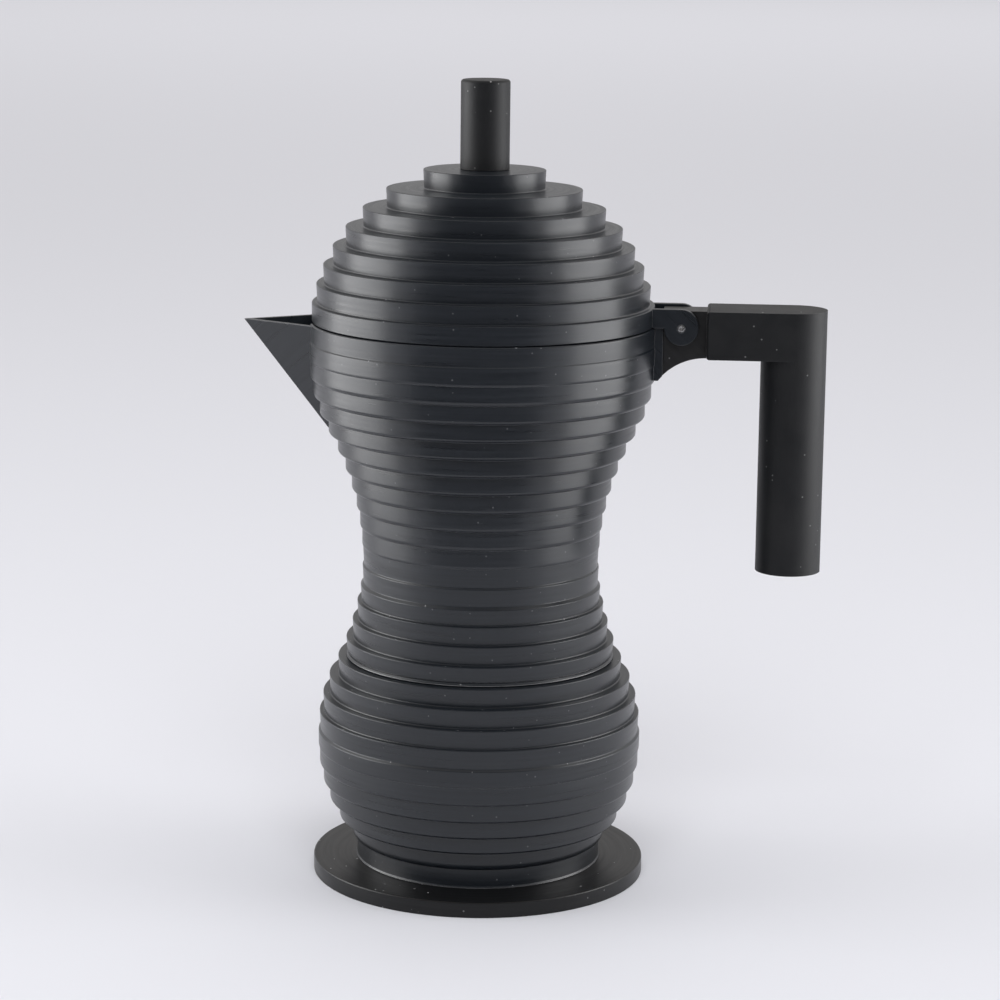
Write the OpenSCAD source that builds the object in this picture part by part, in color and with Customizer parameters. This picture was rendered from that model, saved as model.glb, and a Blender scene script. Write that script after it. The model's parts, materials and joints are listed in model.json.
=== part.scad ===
// Moka pot with a ringed boiler, a ringed upper body and a ringed lid.
// The origin is on the pot's axis, on the surface it stands on. +Z is up, the handle
// is along +X and the spout along -X. All sizes are in millimetres.

/* [Rings] */
// Height of one turned ring
ring_h = 6; // [5:0.1:7.2]
// Number of rings on the boiler
boiler_rings = 10; // [9:1:11]
// Number of rings on the upper body
body_rings = 18; // [17:1:20]
// Number of rings on the lid
lid_rings = 8; // [8:1:9]

/* [Outline] */
// Radius of the sphere that the lid and the top of the upper body follow
sphere_r = 55; // [45:0.5:66]
// How far that sphere would stand over the flat top of the lid
crown_over = 0.5; // [0.2:0.1:1]
// Radius of the hollow arc at the waist
waist_arc_r = 87.4; // [72:0.2:106]
// Widest radius of the boiler
bulb_r = 52; // [50:0.5:63]
// Radius of the arc round the boiler
bulb_arc_r = 46.5; // [46:0.5:50]
// Rings from the bottom of the boiler up to its widest place
bulb_at = 5.55; // [5.2:0.05:6]

/* [Base] */
// Radius of the base plate
plate_r = 53.5; // [45:0.5:65]
// Thickness of the base plate
plate_t = 5; // [4:0.5:6]
// Rounding of the base plate's edges
plate_round = 0.5; // [0.2:0.1:1]
// Height of the boiler's foot, from the plate to the lowest ring
foot_h = 6.3; // [5:0.1:8]
// How far the foot is drawn in under the lowest ring
foot_step = 1.4; // [0.5:0.1:3]

/* [Walls] */
// Wall of boiler, upper body and lid, behind the outline
wall = 3.8; // [3.2:0.1:4.6]
// Thickness of the boiler's floor
boiler_floor_t = 5.5; // [4:0.1:8]
// Thickness of the boiler's roof round the neck
roof_t = 4; // [3:0.1:6]
// Thickness of the upper body's floor
body_floor_t = 5; // [4:0.1:7]
// Wall of the upper body's skirt round the neck
skirt_wall = 3.1; // [2.5:0.1:3.7]

/* [Neck and seal] */
// Height of the threaded neck above the boiler
neck_h = 14.7; // [12:0.1:18]
// Wall of the neck
neck_wall = 3.2; // [2.6:0.1:4]
// Thickness of the gasket
gasket_t = 4; // [3:0.1:5]
// Width of the gasket from bore to rim
gasket_w = 5.6; // [4.5:0.1:6.5]
// Sheet thickness of the filter plate
filter_t = 0.8; // [0.6:0.1:1.2]
// Radius of the filter plate's holes
filter_hole_r = 0.7; // [0.5:0.05:0.9]
// Distance between rings of filter holes
filter_pitch = 5; // [4.2:0.1:6]

/* [Funnel] */
// Sheet thickness of the funnel
funnel_t = 1.2; // [0.8:0.1:1.5]
// Depth of the coffee basket
basket_depth = 22; // [16:0.5:26]
// Width of the shelf that carries the strainer
shelf_w = 2.4; // [1.8:0.1:3.5]
// Height of the funnel's cone
cone_h = 12; // [8:0.5:16]
// Outer radius of the funnel's tube
tube_r = 5; // [4:0.1:7]
// Gap between the tube's end and the boiler's floor
tube_clear = 6; // [4:0.5:10]

/* [Column] */
// Height of the column above the floor, without its cap
column_h = 52; // [40:1:60]
// Radius of the column at its foot
column_foot_r = 6.4; // [5.8:0.1:7.5]
// Radius of the column at its top
column_top_r = 5; // [4.6:0.1:5.6]
// Radius of the bore through the column
column_bore_r = 3.2; // [2.6:0.1:3.6]
// Height of the cap above the column's end
cap_h = 10; // [8:0.5:14]
// Height of the cap's skirt down round the column
cap_skirt_h = 7; // [5:0.5:10]
// Wall of the cap
cap_wall = 1.4; // [1:0.1:2]

/* [Spout] */
// How far the spout's tip stands out from the body's widest ring
spout_out = 21.5; // [17:0.5:26]
// Half of the angle between the spout's walls, seen from above
spout_half = 31; // [26:1:36]
// Angle of the keel below the horizontal
spout_drop = 52.1; // [46:0.1:58]
// Thickness of the spout's walls
spout_t = 1.4; // [1:0.1:2]
// How far the spout's top edges lie under the rim
spout_low = 0.6; // [0:0.1:1.5]

/* [Hinge] */
// Distance of the pin from the lid's lowest ring
pin_out = 8.5; // [7.5:0.1:10]
// Radius of the hinge pin
pin_r = 1.25; // [1:0.05:1.6]
// Radius of the bore through the hinge pin
pin_bore_r = 0.6; // [0.4:0.05:0.8]
// Radius of the hinge ears round the pin
ear_r = 5.35; // [4.6:0.05:5.6]
// Thickness of one ear
ear_t = 2.4; // [2:0.1:3]
// Half of the hinge bracket's width
bracket_half = 5.5; // [4.5:0.1:6.5]
// Gap between the bracket and each ear
ear_gap = 0.15; // [0.1:0.05:0.3]
// Radius of the arc under the bracket
bracket_arc_r = 19; // [17:0.5:21]
// How far the bracket's top lies under the ears' top
bracket_low = 0.75; // [0.5:0.05:1.5]

/* [Handle] */
// Distance from the hinge pin to the handle's end face
handle_out = 8; // [7.6:0.1:10]
// Distance from the end face to the axis of the grip
arm_reach = 27.4; // [24:0.1:32]
// Height of the arm
arm_h = 15.1; // [13:0.1:17]
// Diameter of the grip, and width of the arm
grip_d = 20.6; // [18:0.1:24]
// Length of the grip, from the top of the arm
grip_len = 83.7; // [70:0.1:100]
// Rounding of the handle's edges
handle_round = 0.6; // [0.5:0.1:2]
// Length of the bracket's tang inside the handle
tang_len = 15; // [12:0.5:17]
// Height of the tang
tang_h = 8.6; // [7:0.1:9.5]
// Gap round the tang in its socket
tang_gap = 0.15; // [0.1:0.05:0.3]

/* [Knob] */
// Radius of the knob
knob_r = 7.75; // [6.5:0.05:9]
// Height of the knob
knob_h = 28; // [22:0.5:36]
// Rounding of the knob's top edge
knob_round = 1; // [0.5:0.1:2]
// Outer radius of the threaded insert in the knob
insert_r = 3.2; // [2.8:0.1:4]
// Length of the insert
insert_h = 12; // [8:0.5:14]

/* [Screws] */
// Radius of the small screws' shanks
screw_r = 1.5; // [1.2:0.05:1.7]
// Radius of the small screws' heads
head_r = 2.8; // [2.4:0.1:3]
// Height of the small screws' heads
head_h = 1.8; // [1.4:0.1:2.2]

/* [Safety valve] */
// Ring of the boiler, counted from the bottom, that the valve sits in
valve_ring = 7; // [6:1:7]
// Distance across the flats of the valve's hexagon
valve_flats = 12; // [10:0.5:13]
// Thickness of the hexagon
valve_hex_t = 4; // [3:0.1:5]
// Radius of the valve's barrel and of its threaded shank
valve_r = 4.4; // [4:0.1:4.8]
// Length of the barrel outside the hexagon
barrel_h = 7; // [6:0.1:9]
// Radius of the bore that holds the spring
valve_bore_r = 3; // [2.8:0.05:3.2]
// Radius of the steam hole that the pin closes
steam_r = 1.5; // [1.2:0.05:1.8]
// Radius of the pin's head
plug_r = 2.5; // [2.2:0.05:2.6]
// Radius of the pin's stem
stem_r = 1.1; // [0.9:0.05:1.2]
// Wire diameter of the valve's spring
wire_d = 0.6; // [0.5:0.05:0.7]
// Turns of the valve's spring
spring_turns = 5; // [4:1:6]

/* [Fits] */
// Gap between boiler and upper body at the seam
seam_gap = 0.25; // [0.2:0.05:0.4]
// Gap between upper body and lid at the seam
lid_gap = 0.2; // [0.15:0.05:0.3]
// Radial gap between the neck and the skirt that screws onto it
thread_gap = 0.4; // [0.3:0.05:0.6]
// Gap round the funnel, the gasket and the filter plate
loose_gap = 0.3; // [0.2:0.05:0.5]
// Radial running clearance of pins
run_gap = 0.05; // [0.03:0.01:0.08]
// Gap between flat seats of pieces that move apart
seat_gap = 0.05; // [0.02:0.01:0.1]

/* [Hidden] */
$fn = 96;

// Colours
coat = "#2a2d31";
coat_dark = "#1d1f22";
plastic_black = "#232426";
bare_cast = "#b9bcc0";
bare_steel = "#c9ccd0";
brass_yellow = "#c8a54b";
seal_grey = "#d8d6cf";

// Levels, from the surface that the pot stands on
ring_z = plate_t + foot_h;
boiler_top = ring_z + boiler_rings * ring_h;
body_z = boiler_top + seam_gap;
body_top = body_z + body_rings * ring_h;
lid_z = body_top + lid_gap;
lid_top = lid_z + lid_rings * ring_h;
neck_top = boiler_top + neck_h;
flange_z = neck_top + seat_gap;
flange_top = flange_z + funnel_t;
gasket_z = flange_top + seat_gap;
gasket_top = gasket_z + gasket_t;
floor_z = gasket_top + seat_gap;
floor_top = floor_z + body_floor_t;

// Outline: a sphere above, a hollow arc at the waist and a round arc below, each tangent
// to the next. The waist's centre is where two circles round the other centres meet.
sphere_z = lid_top + crown_over - sphere_r;
bulb_x = bulb_r - bulb_arc_r;
bulb_z = ring_z + bulb_at * ring_h;
to_sphere = sphere_r + waist_arc_r;
to_bulb = bulb_arc_r + waist_arc_r;
between = norm([bulb_x, sphere_z - bulb_z]);
along = (pow(to_sphere, 2) - pow(to_bulb, 2) + pow(between, 2)) / (2 * between);
aside = sqrt(pow(to_sphere, 2) - pow(along, 2));
way = [bulb_x, bulb_z - sphere_z] / between;
waist_x = way[0] * along - way[1] * aside;
waist_z = sphere_z + way[1] * along + way[0] * aside;
sphere_join = sphere_z + (waist_z - sphere_z) * sphere_r / to_sphere;
bulb_join = bulb_z + (waist_z - bulb_z) * bulb_arc_r / to_bulb;

// Radius of a circular arc at height z, for a centre at height zc
function arc(r, zc, z) = sqrt(max(pow(r, 2) - pow(z - zc, 2), 0));

// Radius of the pot's smooth outline at height z
function outline(z) =
    z > sphere_join ? arc(sphere_r, sphere_z, z)
    : z > bulb_join ? waist_x - arc(waist_arc_r, waist_z, z)
    : bulb_x + arc(bulb_arc_r, bulb_z, z);

// Square steps of n rings that start at height z, each as wide as the outline at mid ring
function steps(z, n) = [
    for (i = [0:n - 1])
        for (edge = [0, 1])
            [outline(z + (i + 0.5) * ring_h), z + (i + edge) * ring_h]
];

// Inner surface between two heights, one wall behind the outline, from the top down
function lining(low, high, n) = [
    for (i = [n:-1:0])
        let (z = low + (high - low) * i / n)
            [outline(z) - wall, z]
];

// Seal and funnel, each set by what it sits in
skirt_r = outline(floor_z) - skirt_wall;
neck_r = skirt_r - thread_gap;
neck_bore_r = neck_r - neck_wall;
gasket_r = skirt_r - loose_gap;
gasket_bore_r = gasket_r - gasket_w;
filter_r = gasket_bore_r - loose_gap;
filter_z = flange_top + loose_gap;
flange_r = neck_r - loose_gap;
basket_r = neck_bore_r - loose_gap;
basket_in_r = basket_r - funnel_t;
basket_z = flange_top - basket_depth;
cone_z = basket_z - cone_h;
boiler_floor = plate_t + boiler_floor_t;
tube_z = boiler_floor + tube_clear;
foot_r = outline(ring_z + 0.5 * ring_h) - foot_step;
dish_rise = 2;
dish_margin = 2;

// Column
spigot_step = 0.3;
spigot_r = column_top_r - spigot_step;
column_end = floor_top + column_h;
column_flange_w = 2;
column_flange_r = column_foot_r + column_flange_w;
column_flange_h = 2;
column_taper_end = 2;
cap_z = column_end - cap_skirt_h;
cap_top = column_end + cap_h;
cap_round = 0.6;
cap_stop = 0.6;
window_w = 4.6;
window_low = 1;
window_high = 1.5;

// Hinge and handle
lid_r = outline(lid_z + 0.5 * ring_h);
lid_inner_r = sphere_r - wall;
pin_x = lid_r + pin_out;
pin_z = lid_z;
ear_top = lid_z + ring_h;
ear_in = bracket_half + ear_gap;
ear_out = ear_in + ear_t;
ear_root = 2.5;
pin_sink = 0.2;
pad_x = pin_x - ear_r - loose_gap;
pad_half = bracket_half + 1;
bracket_top = ear_top - bracket_low;
handle_x = pin_x + handle_out;
handle_low = 0.25;
handle_top = ear_top - handle_low;
handle_z = handle_top - arm_h;
bracket_drop = 1;
bracket_z = handle_z - bracket_drop;
grip_x = handle_x + arm_reach;
tang_shoulder = 1.2;
tang_half = bracket_half - tang_shoulder;
tang_end_gap = 0.4;
tang_z = handle_z + (arm_h - tang_h) / 2;
handle_screw_x = handle_x + tang_len / 2;
handle_screw_sink = 1.4;
rim_inner_r = outline(body_top) - wall;
lid_spigot_gap = 0.4;
lid_spigot_r = rim_inner_r - lid_spigot_gap;
lid_spigot_t = 1.6;
lid_spigot_h = 1.8;
lid_spigot_in = 2;
screw_apart = 6.6;
screw_lip_gap = 0.15;
bracket_screw_top = lid_z - lid_spigot_h - head_r - screw_lip_gap;
bracket_screw_zs = [bracket_screw_top - screw_apart, bracket_screw_top];
bracket_screw_reach = 3.2;
bracket_screw_end = 0.5;
screw_gap = 0.2;
seat_sink = 0.5;
seat_x = outline(bracket_z) - wall + seat_sink;

// Knob and its screw
crown_flat = 0.25;
crown_in = sphere_z + lid_inner_r - crown_flat;
knob_screw_len = 10;
washer_r = 3.6;
washer_t = 0.8;
insert_floor = 1.5;

// Spout: the tip, and the half angle of its section square to the keel
tip_x = -(sphere_r + spout_out);
tip_z = body_top - spout_low;
keel_half = atan(tan(spout_half) / sin(spout_drop));
keel_len = (spout_out + wall) / cos(spout_drop) * 1.1;
spout_reach = 60;
spout_root = 6;
notch_stop = 4;
rim_outer_r = outline(body_z + 12.5 * ring_h);
spout_side = 40;

// Safety valve: distances along its axis start at its seat on the boiler
valve_z = ring_z + (valve_ring - 0.5) * ring_h;
valve_sink = 0.95;
valve_seat = outline(valve_z) - valve_sink;
spot_face_r = valve_flats / 2 + 1.8;
shank_h = 5;
seat_face = 0.6;
plug_z = -seat_face + seat_gap;
plug_h = 2;
barrel_end = valve_hex_t + barrel_h;
valve_cap_t = 1.4;
spring_z = plug_z + plug_h;
spring_end = barrel_end - valve_cap_t;
stem_out = 1.6;
wire_gap = 0.02;

// How far a cutter runs past what it cuts, and a length that clears any wall
past = 1;
clear = 20;

// Draws a flat outline of x and z as a plate that reaches from y0 to y1
module plate_xz(y0, y1) {
    translate([0, y1, 0])
        rotate([90, 0, 0])
            linear_extrude(y1 - y0)
                children();
}

// Places something on the valve's axis, which runs out of the boiler along +Y
module at_valve() {
    translate([0, valve_seat, valve_z])
        rotate([-90, 0, 0])
            children();
}

// Upright rod with both of its round edges rounded
module soft_rod(r, h, edge) {
    rotate_extrude() {
        square([r - edge, h]);
        translate([0, edge])
            square([r, h - 2 * edge]);
        for (z = [edge, h - edge])
            translate([r - edge, z])
                circle(edge, $fn = 32);
    }
}

// Tube between two heights
module tube(r, bore, z0, z1) {
    translate([0, 0, z0])
        difference() {
            cylinder(r = r, h = z1 - z0);
            translate([0, 0, -past])
                cylinder(r = bore, h = z1 - z0 + 2 * past);
        }
}

// Rings of small holes through a sheet, out to radius reach
module perforations(reach, z, t) {
    count = floor(reach / filter_pitch);
    translate([0, 0, z - past]) {
        cylinder(r = filter_hole_r, h = t + 2 * past, $fn = 6);
        for (ring = [1:count])
            for (turn = [1:6 * ring])
                rotate(360 * turn / (6 * ring))
                    translate([ring * filter_pitch, 0, 0])
                        cylinder(r = filter_hole_r, h = t + 2 * past, $fn = 6);
    }
}

module base_plate() {
    color(coat_dark)
        soft_rod(plate_r, plate_t, plate_round);
}

module boiler() {
    roof_z = boiler_top - roof_t;
    color(coat)
        difference() {
            rotate_extrude($fn = 180)
                polygon(concat(
                    [[0, plate_t], [foot_r, plate_t], [foot_r, ring_z]],
                    steps(ring_z, boiler_rings),
                    [[neck_r, boiler_top], [neck_r, neck_top], [neck_bore_r, neck_top],
                     [neck_bore_r, roof_z]],
                    lining(boiler_floor, roof_z, 16),
                    [[0, boiler_floor]]
                ));
            at_valve() {
                cylinder(r = spot_face_r, h = clear);
                translate([0, 0, -clear])
                    cylinder(r = valve_r, h = 2 * clear);
            }
        }
}

module valve_body() {
    color(brass_yellow)
        at_valve()
            difference() {
                union() {
                    cylinder(d = valve_flats / cos(30), h = valve_hex_t, $fn = 6);
                    translate([0, 0, -shank_h])
                        cylinder(r = valve_r, h = shank_h + barrel_end);
                }
                translate([0, 0, -seat_face])
                    cylinder(r = valve_bore_r, h = barrel_end + clear);
                translate([0, 0, -clear])
                    cylinder(r = steam_r, h = 2 * clear);
            }
}

module valve_pin() {
    color(bare_steel)
        at_valve() {
            translate([0, 0, plug_z])
                cylinder(r = plug_r, h = plug_h);
            translate([0, 0, plug_z])
                cylinder(r = stem_r, h = barrel_end + stem_out - plug_z);
        }
}

module valve_spring() {
    steps_per_turn = 14;
    sides = 8;
    coil_r = (valve_bore_r + stem_r - 0.3) / 2;
    last = steps_per_turn * spring_turns;
    low = spring_z + wire_d / 2 + wire_gap;
    rise = spring_end - spring_z - wire_d - 2 * wire_gap;
    points = [
        for (k = [0:last])
            for (s = [0:sides - 1])
                let (a = 360 * k / steps_per_turn, b = 360 * s / sides,
                     r = coil_r + wire_d / 2 * cos(b))
                    [r * cos(a), r * sin(a), low + rise * k / last + wire_d / 2 * sin(b)]
    ];
    walls = [
        for (k = [0:last - 1])
            for (s = [0:sides - 1])
                let (n = (s + 1) % sides, a = k * sides, b = a + sides)
                    each [[a + s, a + n, b + n], [a + s, b + n, b + s]]
    ];
    ends = [
        [for (s = [sides - 1:-1:0]) s],
        [for (s = [0:sides - 1]) last * sides + s]
    ];
    color(bare_steel)
        at_valve()
            polyhedron(points, concat(walls, ends));
}

module valve_cap() {
    color(brass_yellow)
        at_valve()
            tube(valve_bore_r, stem_r + run_gap, spring_end, barrel_end);
}

module funnel() {
    shelf_r = basket_in_r - shelf_w;
    color(bare_cast)
        rotate_extrude()
            polygon([
                [basket_in_r, flange_top], [basket_in_r, basket_z], [shelf_r, basket_z],
                [tube_r - funnel_t, cone_z], [tube_r - funnel_t, tube_z], [tube_r, tube_z],
                [tube_r, cone_z - funnel_t / 2], [basket_r, basket_z - funnel_t],
                [basket_r, flange_z], [flange_r, flange_z], [flange_r, flange_top]
            ]);
}

module funnel_strainer() {
    strainer_r = basket_in_r - 2 * run_gap;
    color(bare_steel)
        difference() {
            translate([0, 0, basket_z])
                cylinder(r = strainer_r, h = filter_t);
            perforations(strainer_r - shelf_w - 1, basket_z, filter_t);
        }
}

module gasket() {
    color(seal_grey)
        tube(gasket_r, gasket_bore_r, gasket_z, gasket_top);
}

module filter_plate() {
    rim_top = gasket_top - loose_gap;
    color(bare_steel)
        difference() {
            rotate_extrude()
                polygon([
                    [0, filter_z], [filter_r, filter_z], [filter_r, rim_top],
                    [filter_r - filter_t, rim_top], [filter_r - filter_t, filter_z + filter_t],
                    [0, filter_z + filter_t]
                ]);
            perforations(filter_r - filter_t - 1, filter_z, filter_t);
        }
}

// The spout's section square to its keel, laid along the keel from the tip down.
// inset moves both faces in, and far is how long the arms of the section are.
module along_keel(inset, far, solid) {
    start = [-inset / sin(keel_half), 0];
    arm = [-far * cos(keel_half), far * sin(keel_half)];
    thick = [-spout_t / sin(keel_half), 0];
    translate([tip_x, 0, tip_z])
        rotate([0, 90 + spout_drop, 0])
            translate([0, 0, -far])
                linear_extrude(far + keel_len * 1.4)
                    if (solid)
                        polygon([start, start + arm, start + [arm[0], -arm[1]]]);
                    else
                        polygon([
                            start, start + arm, start + arm + thick, start + thick,
                            start + thick + [arm[0], -arm[1]], start + [arm[0], -arm[1]]
                        ]);
}

// Keeps what lies between the spout's tip and x1, and under z1
module spout_limits(x1, z1) {
    depth = keel_len * sin(spout_drop) + clear;
    intersection() {
        children();
        translate([tip_x - past, -spout_side, z1 - depth])
            cube([x1 - tip_x + past, 2 * spout_side, depth]);
    }
}

// Everything under the hinge bracket's concave underside is left out
module bracket_shape(x0, x1, z0, z1) {
    difference() {
        translate([x0, z0])
            square([x1 - x0, z1 - z0]);
        translate([handle_x, bracket_z - bracket_arc_r])
            circle(bracket_arc_r, $fn = 180);
    }
}

// Boss on the upper body that the hinge bracket is screwed to
module bracket_pad() {
    plate_xz(-pad_half, pad_half)
        bracket_shape(seat_x - 1, pad_x, bracket_z - bracket_arc_r * 0.42, body_top);
}

module collector() {
    color(coat)
        difference() {
            union() {
                rotate_extrude($fn = 180)
                    polygon(concat(
                        steps(body_z, body_rings),
                        [[spigot_r, body_top], [spigot_r, floor_z + dish_rise],
                         [gasket_bore_r - dish_margin, floor_z], [skirt_r, floor_z],
                         [skirt_r, body_z]]
                    ));
                spout_limits(spout_root - rim_outer_r, tip_z)
                    along_keel(0, spout_reach, false);
                bracket_pad();
            }
            rotate_extrude($fn = 180)
                polygon(concat(
                    [[0, body_top + past], [rim_inner_r, body_top + past]],
                    lining(floor_top, body_top, 24),
                    [[0, floor_top]]
                ));
            spout_limits(-column_flange_r - notch_stop, body_top + past)
                along_keel(spout_t, spout_reach, true);
            for (z = bracket_screw_zs)
                translate([0, 0, z])
                    rotate([0, 90, 0]) {
                        cylinder(r = screw_r, h = pad_x + past);
                        cylinder(r = head_r + screw_gap, h = seat_x);
                    }
        }
}

module column() {
    straight_z = cap_z - column_taper_end;
    color(bare_cast)
        rotate_extrude()
            polygon([
                [column_bore_r, floor_z + dish_rise], [spigot_r, floor_z + dish_rise],
                [spigot_r, floor_top], [column_flange_r, floor_top],
                [column_flange_r, floor_top + column_flange_h],
                [column_foot_r, floor_top + column_flange_h], [column_top_r, straight_z],
                [column_top_r, column_end], [column_bore_r, column_end]
            ]);
}

module column_cap() {
    cap_r = column_top_r + cap_wall;
    color(bare_cast)
        difference() {
            translate([0, 0, cap_z])
                soft_rod(cap_r, cap_top - cap_z, cap_round);
            translate([0, 0, cap_z - past])
                cylinder(r = column_top_r, h = cap_skirt_h + past);
            cylinder(r = column_top_r - cap_stop, h = cap_top - cap_wall);
            translate([-clear, -window_w / 2, column_end + window_low])
                cube([2 * clear, window_w, cap_h - cap_wall - window_low - window_high]);
        }
}

module hinge_bracket() {
    color(coat_dark)
        difference() {
            union() {
                plate_xz(-bracket_half, bracket_half)
                    bracket_shape(pad_x, handle_x, bracket_z - bracket_arc_r * 0.5, bracket_top);
                translate([handle_x - past, -tang_half, tang_z])
                    cube([tang_len + past, 2 * tang_half, tang_h]);
            }
            translate([pin_x, 0, pin_z])
                rotate([90, 0, 0])
                    cylinder(r = pin_r, h = 4 * bracket_half, center = true);
            for (z = bracket_screw_zs)
                translate([pad_x - past, 0, z])
                    rotate([0, 90, 0])
                        cylinder(r = screw_r, h = bracket_screw_reach + past);
            translate([handle_screw_x, 0, tang_z - past])
                cylinder(r = screw_r, h = tang_h + 2 * past);
        }
}

module bracket_screws() {
    color(bare_steel)
        for (z = bracket_screw_zs)
            translate([seat_x, 0, z])
                rotate([0, 90, 0]) {
                    cylinder(r = screw_r, h = pad_x + bracket_screw_reach - bracket_screw_end - seat_x);
                    translate([0, 0, -head_h])
                        cylinder(r = head_r, h = head_h);
                }
}

module handle() {
    socket_half = tang_half + tang_gap;
    color(plastic_black)
        difference() {
            union() {
                translate([handle_x, 0, handle_z])
                    rotate([90, 0, 90])
                        linear_extrude(arm_reach)
                            arm_section();
                translate([grip_x, 0, handle_top - grip_len])
                    soft_rod(grip_d / 2, grip_len, handle_round);
            }
            translate([handle_x - past, -socket_half, tang_z - tang_gap])
                cube([tang_len + past + tang_end_gap, 2 * socket_half, tang_h + 2 * tang_gap]);
            translate([handle_screw_x, 0, handle_z - past]) {
                cylinder(r = screw_r + screw_gap, h = arm_h / 2);
                cylinder(r = head_r + screw_gap, h = past + handle_screw_sink);
            }
        }
}

// Section of the handle's arm, with its four edges rounded
module arm_section() {
    half = grip_d / 2;
    edge = handle_round;
    translate([-half + edge, 0])
        square([grip_d - 2 * edge, arm_h]);
    translate([-half, edge])
        square([grip_d, arm_h - 2 * edge]);
    for (side = [-1, 1])
        for (z = [edge, arm_h - edge])
            translate([side * (half - edge), z])
                circle(edge, $fn = 32);
}

module handle_screw() {
    head_z = handle_z + handle_screw_sink;
    flat_head_h = min(head_h, handle_screw_sink - screw_gap);
    color(bare_steel)
        translate([handle_screw_x, 0, head_z]) {
            cylinder(r = screw_r, h = tang_z + tang_h - head_z);
            translate([0, 0, -flat_head_h])
                cylinder(r = head_r, h = flat_head_h);
        }
}

// Outline of one hinge ear: round about the pin, with a level top
module ear_shape() {
    lift = ear_top - ear_r - pin_z;
    difference() {
        union() {
            translate([pin_x, pin_z])
                circle(ear_r);
            translate([pin_x, pin_z + lift])
                circle(ear_r);
            translate([pin_x, pin_z])
                square([ear_r, lift]);
            translate([lid_r - ear_root, pin_z])
                square([pin_x - lid_r + ear_root, ear_top - pin_z]);
        }
        translate([pin_x, pin_z])
            circle(pin_r + run_gap);
    }
}

module lid() {
    low_angle = asin((lid_z + lid_spigot_in - sphere_z) / lid_inner_r);
    high_angle = asin((crown_in - sphere_z) / lid_inner_r);
    count = 20;
    color(coat) {
        rotate_extrude($fn = 180)
            polygon(concat(
                [[lid_spigot_r - lid_spigot_t, lid_z - lid_spigot_h],
                 [lid_spigot_r, lid_z - lid_spigot_h], [lid_spigot_r, lid_z]],
                steps(lid_z, lid_rings),
                [[screw_r + screw_gap, lid_top], [screw_r + screw_gap, crown_in]],
                [for (i = [count:-1:0])
                    let (a = low_angle + (high_angle - low_angle) * i / count)
                        [lid_inner_r * cos(a), sphere_z + lid_inner_r * sin(a)]],
                [[lid_spigot_r - lid_spigot_t, lid_z + lid_spigot_in]]
            ));
        for (y = [-ear_out, ear_in])
            plate_xz(y, y + ear_t)
                ear_shape();
    }
}

module hinge_pin() {
    color(bare_steel)
        translate([pin_x, ear_out - pin_sink, pin_z])
            rotate([90, 0, 0])
                tube(pin_r, pin_bore_r, 0, 2 * (ear_out - pin_sink));
}

module knob() {
    color(plastic_black)
        difference() {
            translate([0, 0, lid_top])
                soft_rod(knob_r, knob_h, knob_round);
            translate([0, 0, lid_top - past])
                cylinder(r = insert_r, h = insert_h + past);
        }
}

module knob_insert() {
    color(brass_yellow)
        difference() {
            translate([0, 0, lid_top])
                cylinder(r = insert_r, h = insert_h);
            translate([0, 0, lid_top - past])
                cylinder(r = screw_r, h = insert_h + past - insert_floor);
        }
}

module knob_screw() {
    color(bare_steel) {
        translate([0, 0, crown_in - washer_t - head_h])
            cylinder(r = head_r, h = head_h);
        translate([0, 0, crown_in - washer_t - 0.5])
            cylinder(r = screw_r, h = knob_screw_len + lid_top - crown_in);
    }
}

module knob_washer() {
    color(bare_steel)
        tube(washer_r, screw_r + screw_gap, crown_in - washer_t, crown_in);
}

base_plate();
boiler();
valve_body();
valve_pin();
valve_spring();
valve_cap();
funnel();
funnel_strainer();
gasket();
filter_plate();
collector();
column();
column_cap();
hinge_bracket();
bracket_screws();
handle();
handle_screw();
lid();
hinge_pin();
knob();
knob_insert();
knob_screw();
knob_washer();
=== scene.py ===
import json
import math

import bmesh
import bpy
from mathutils import Matrix, Quaternion, Vector


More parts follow.
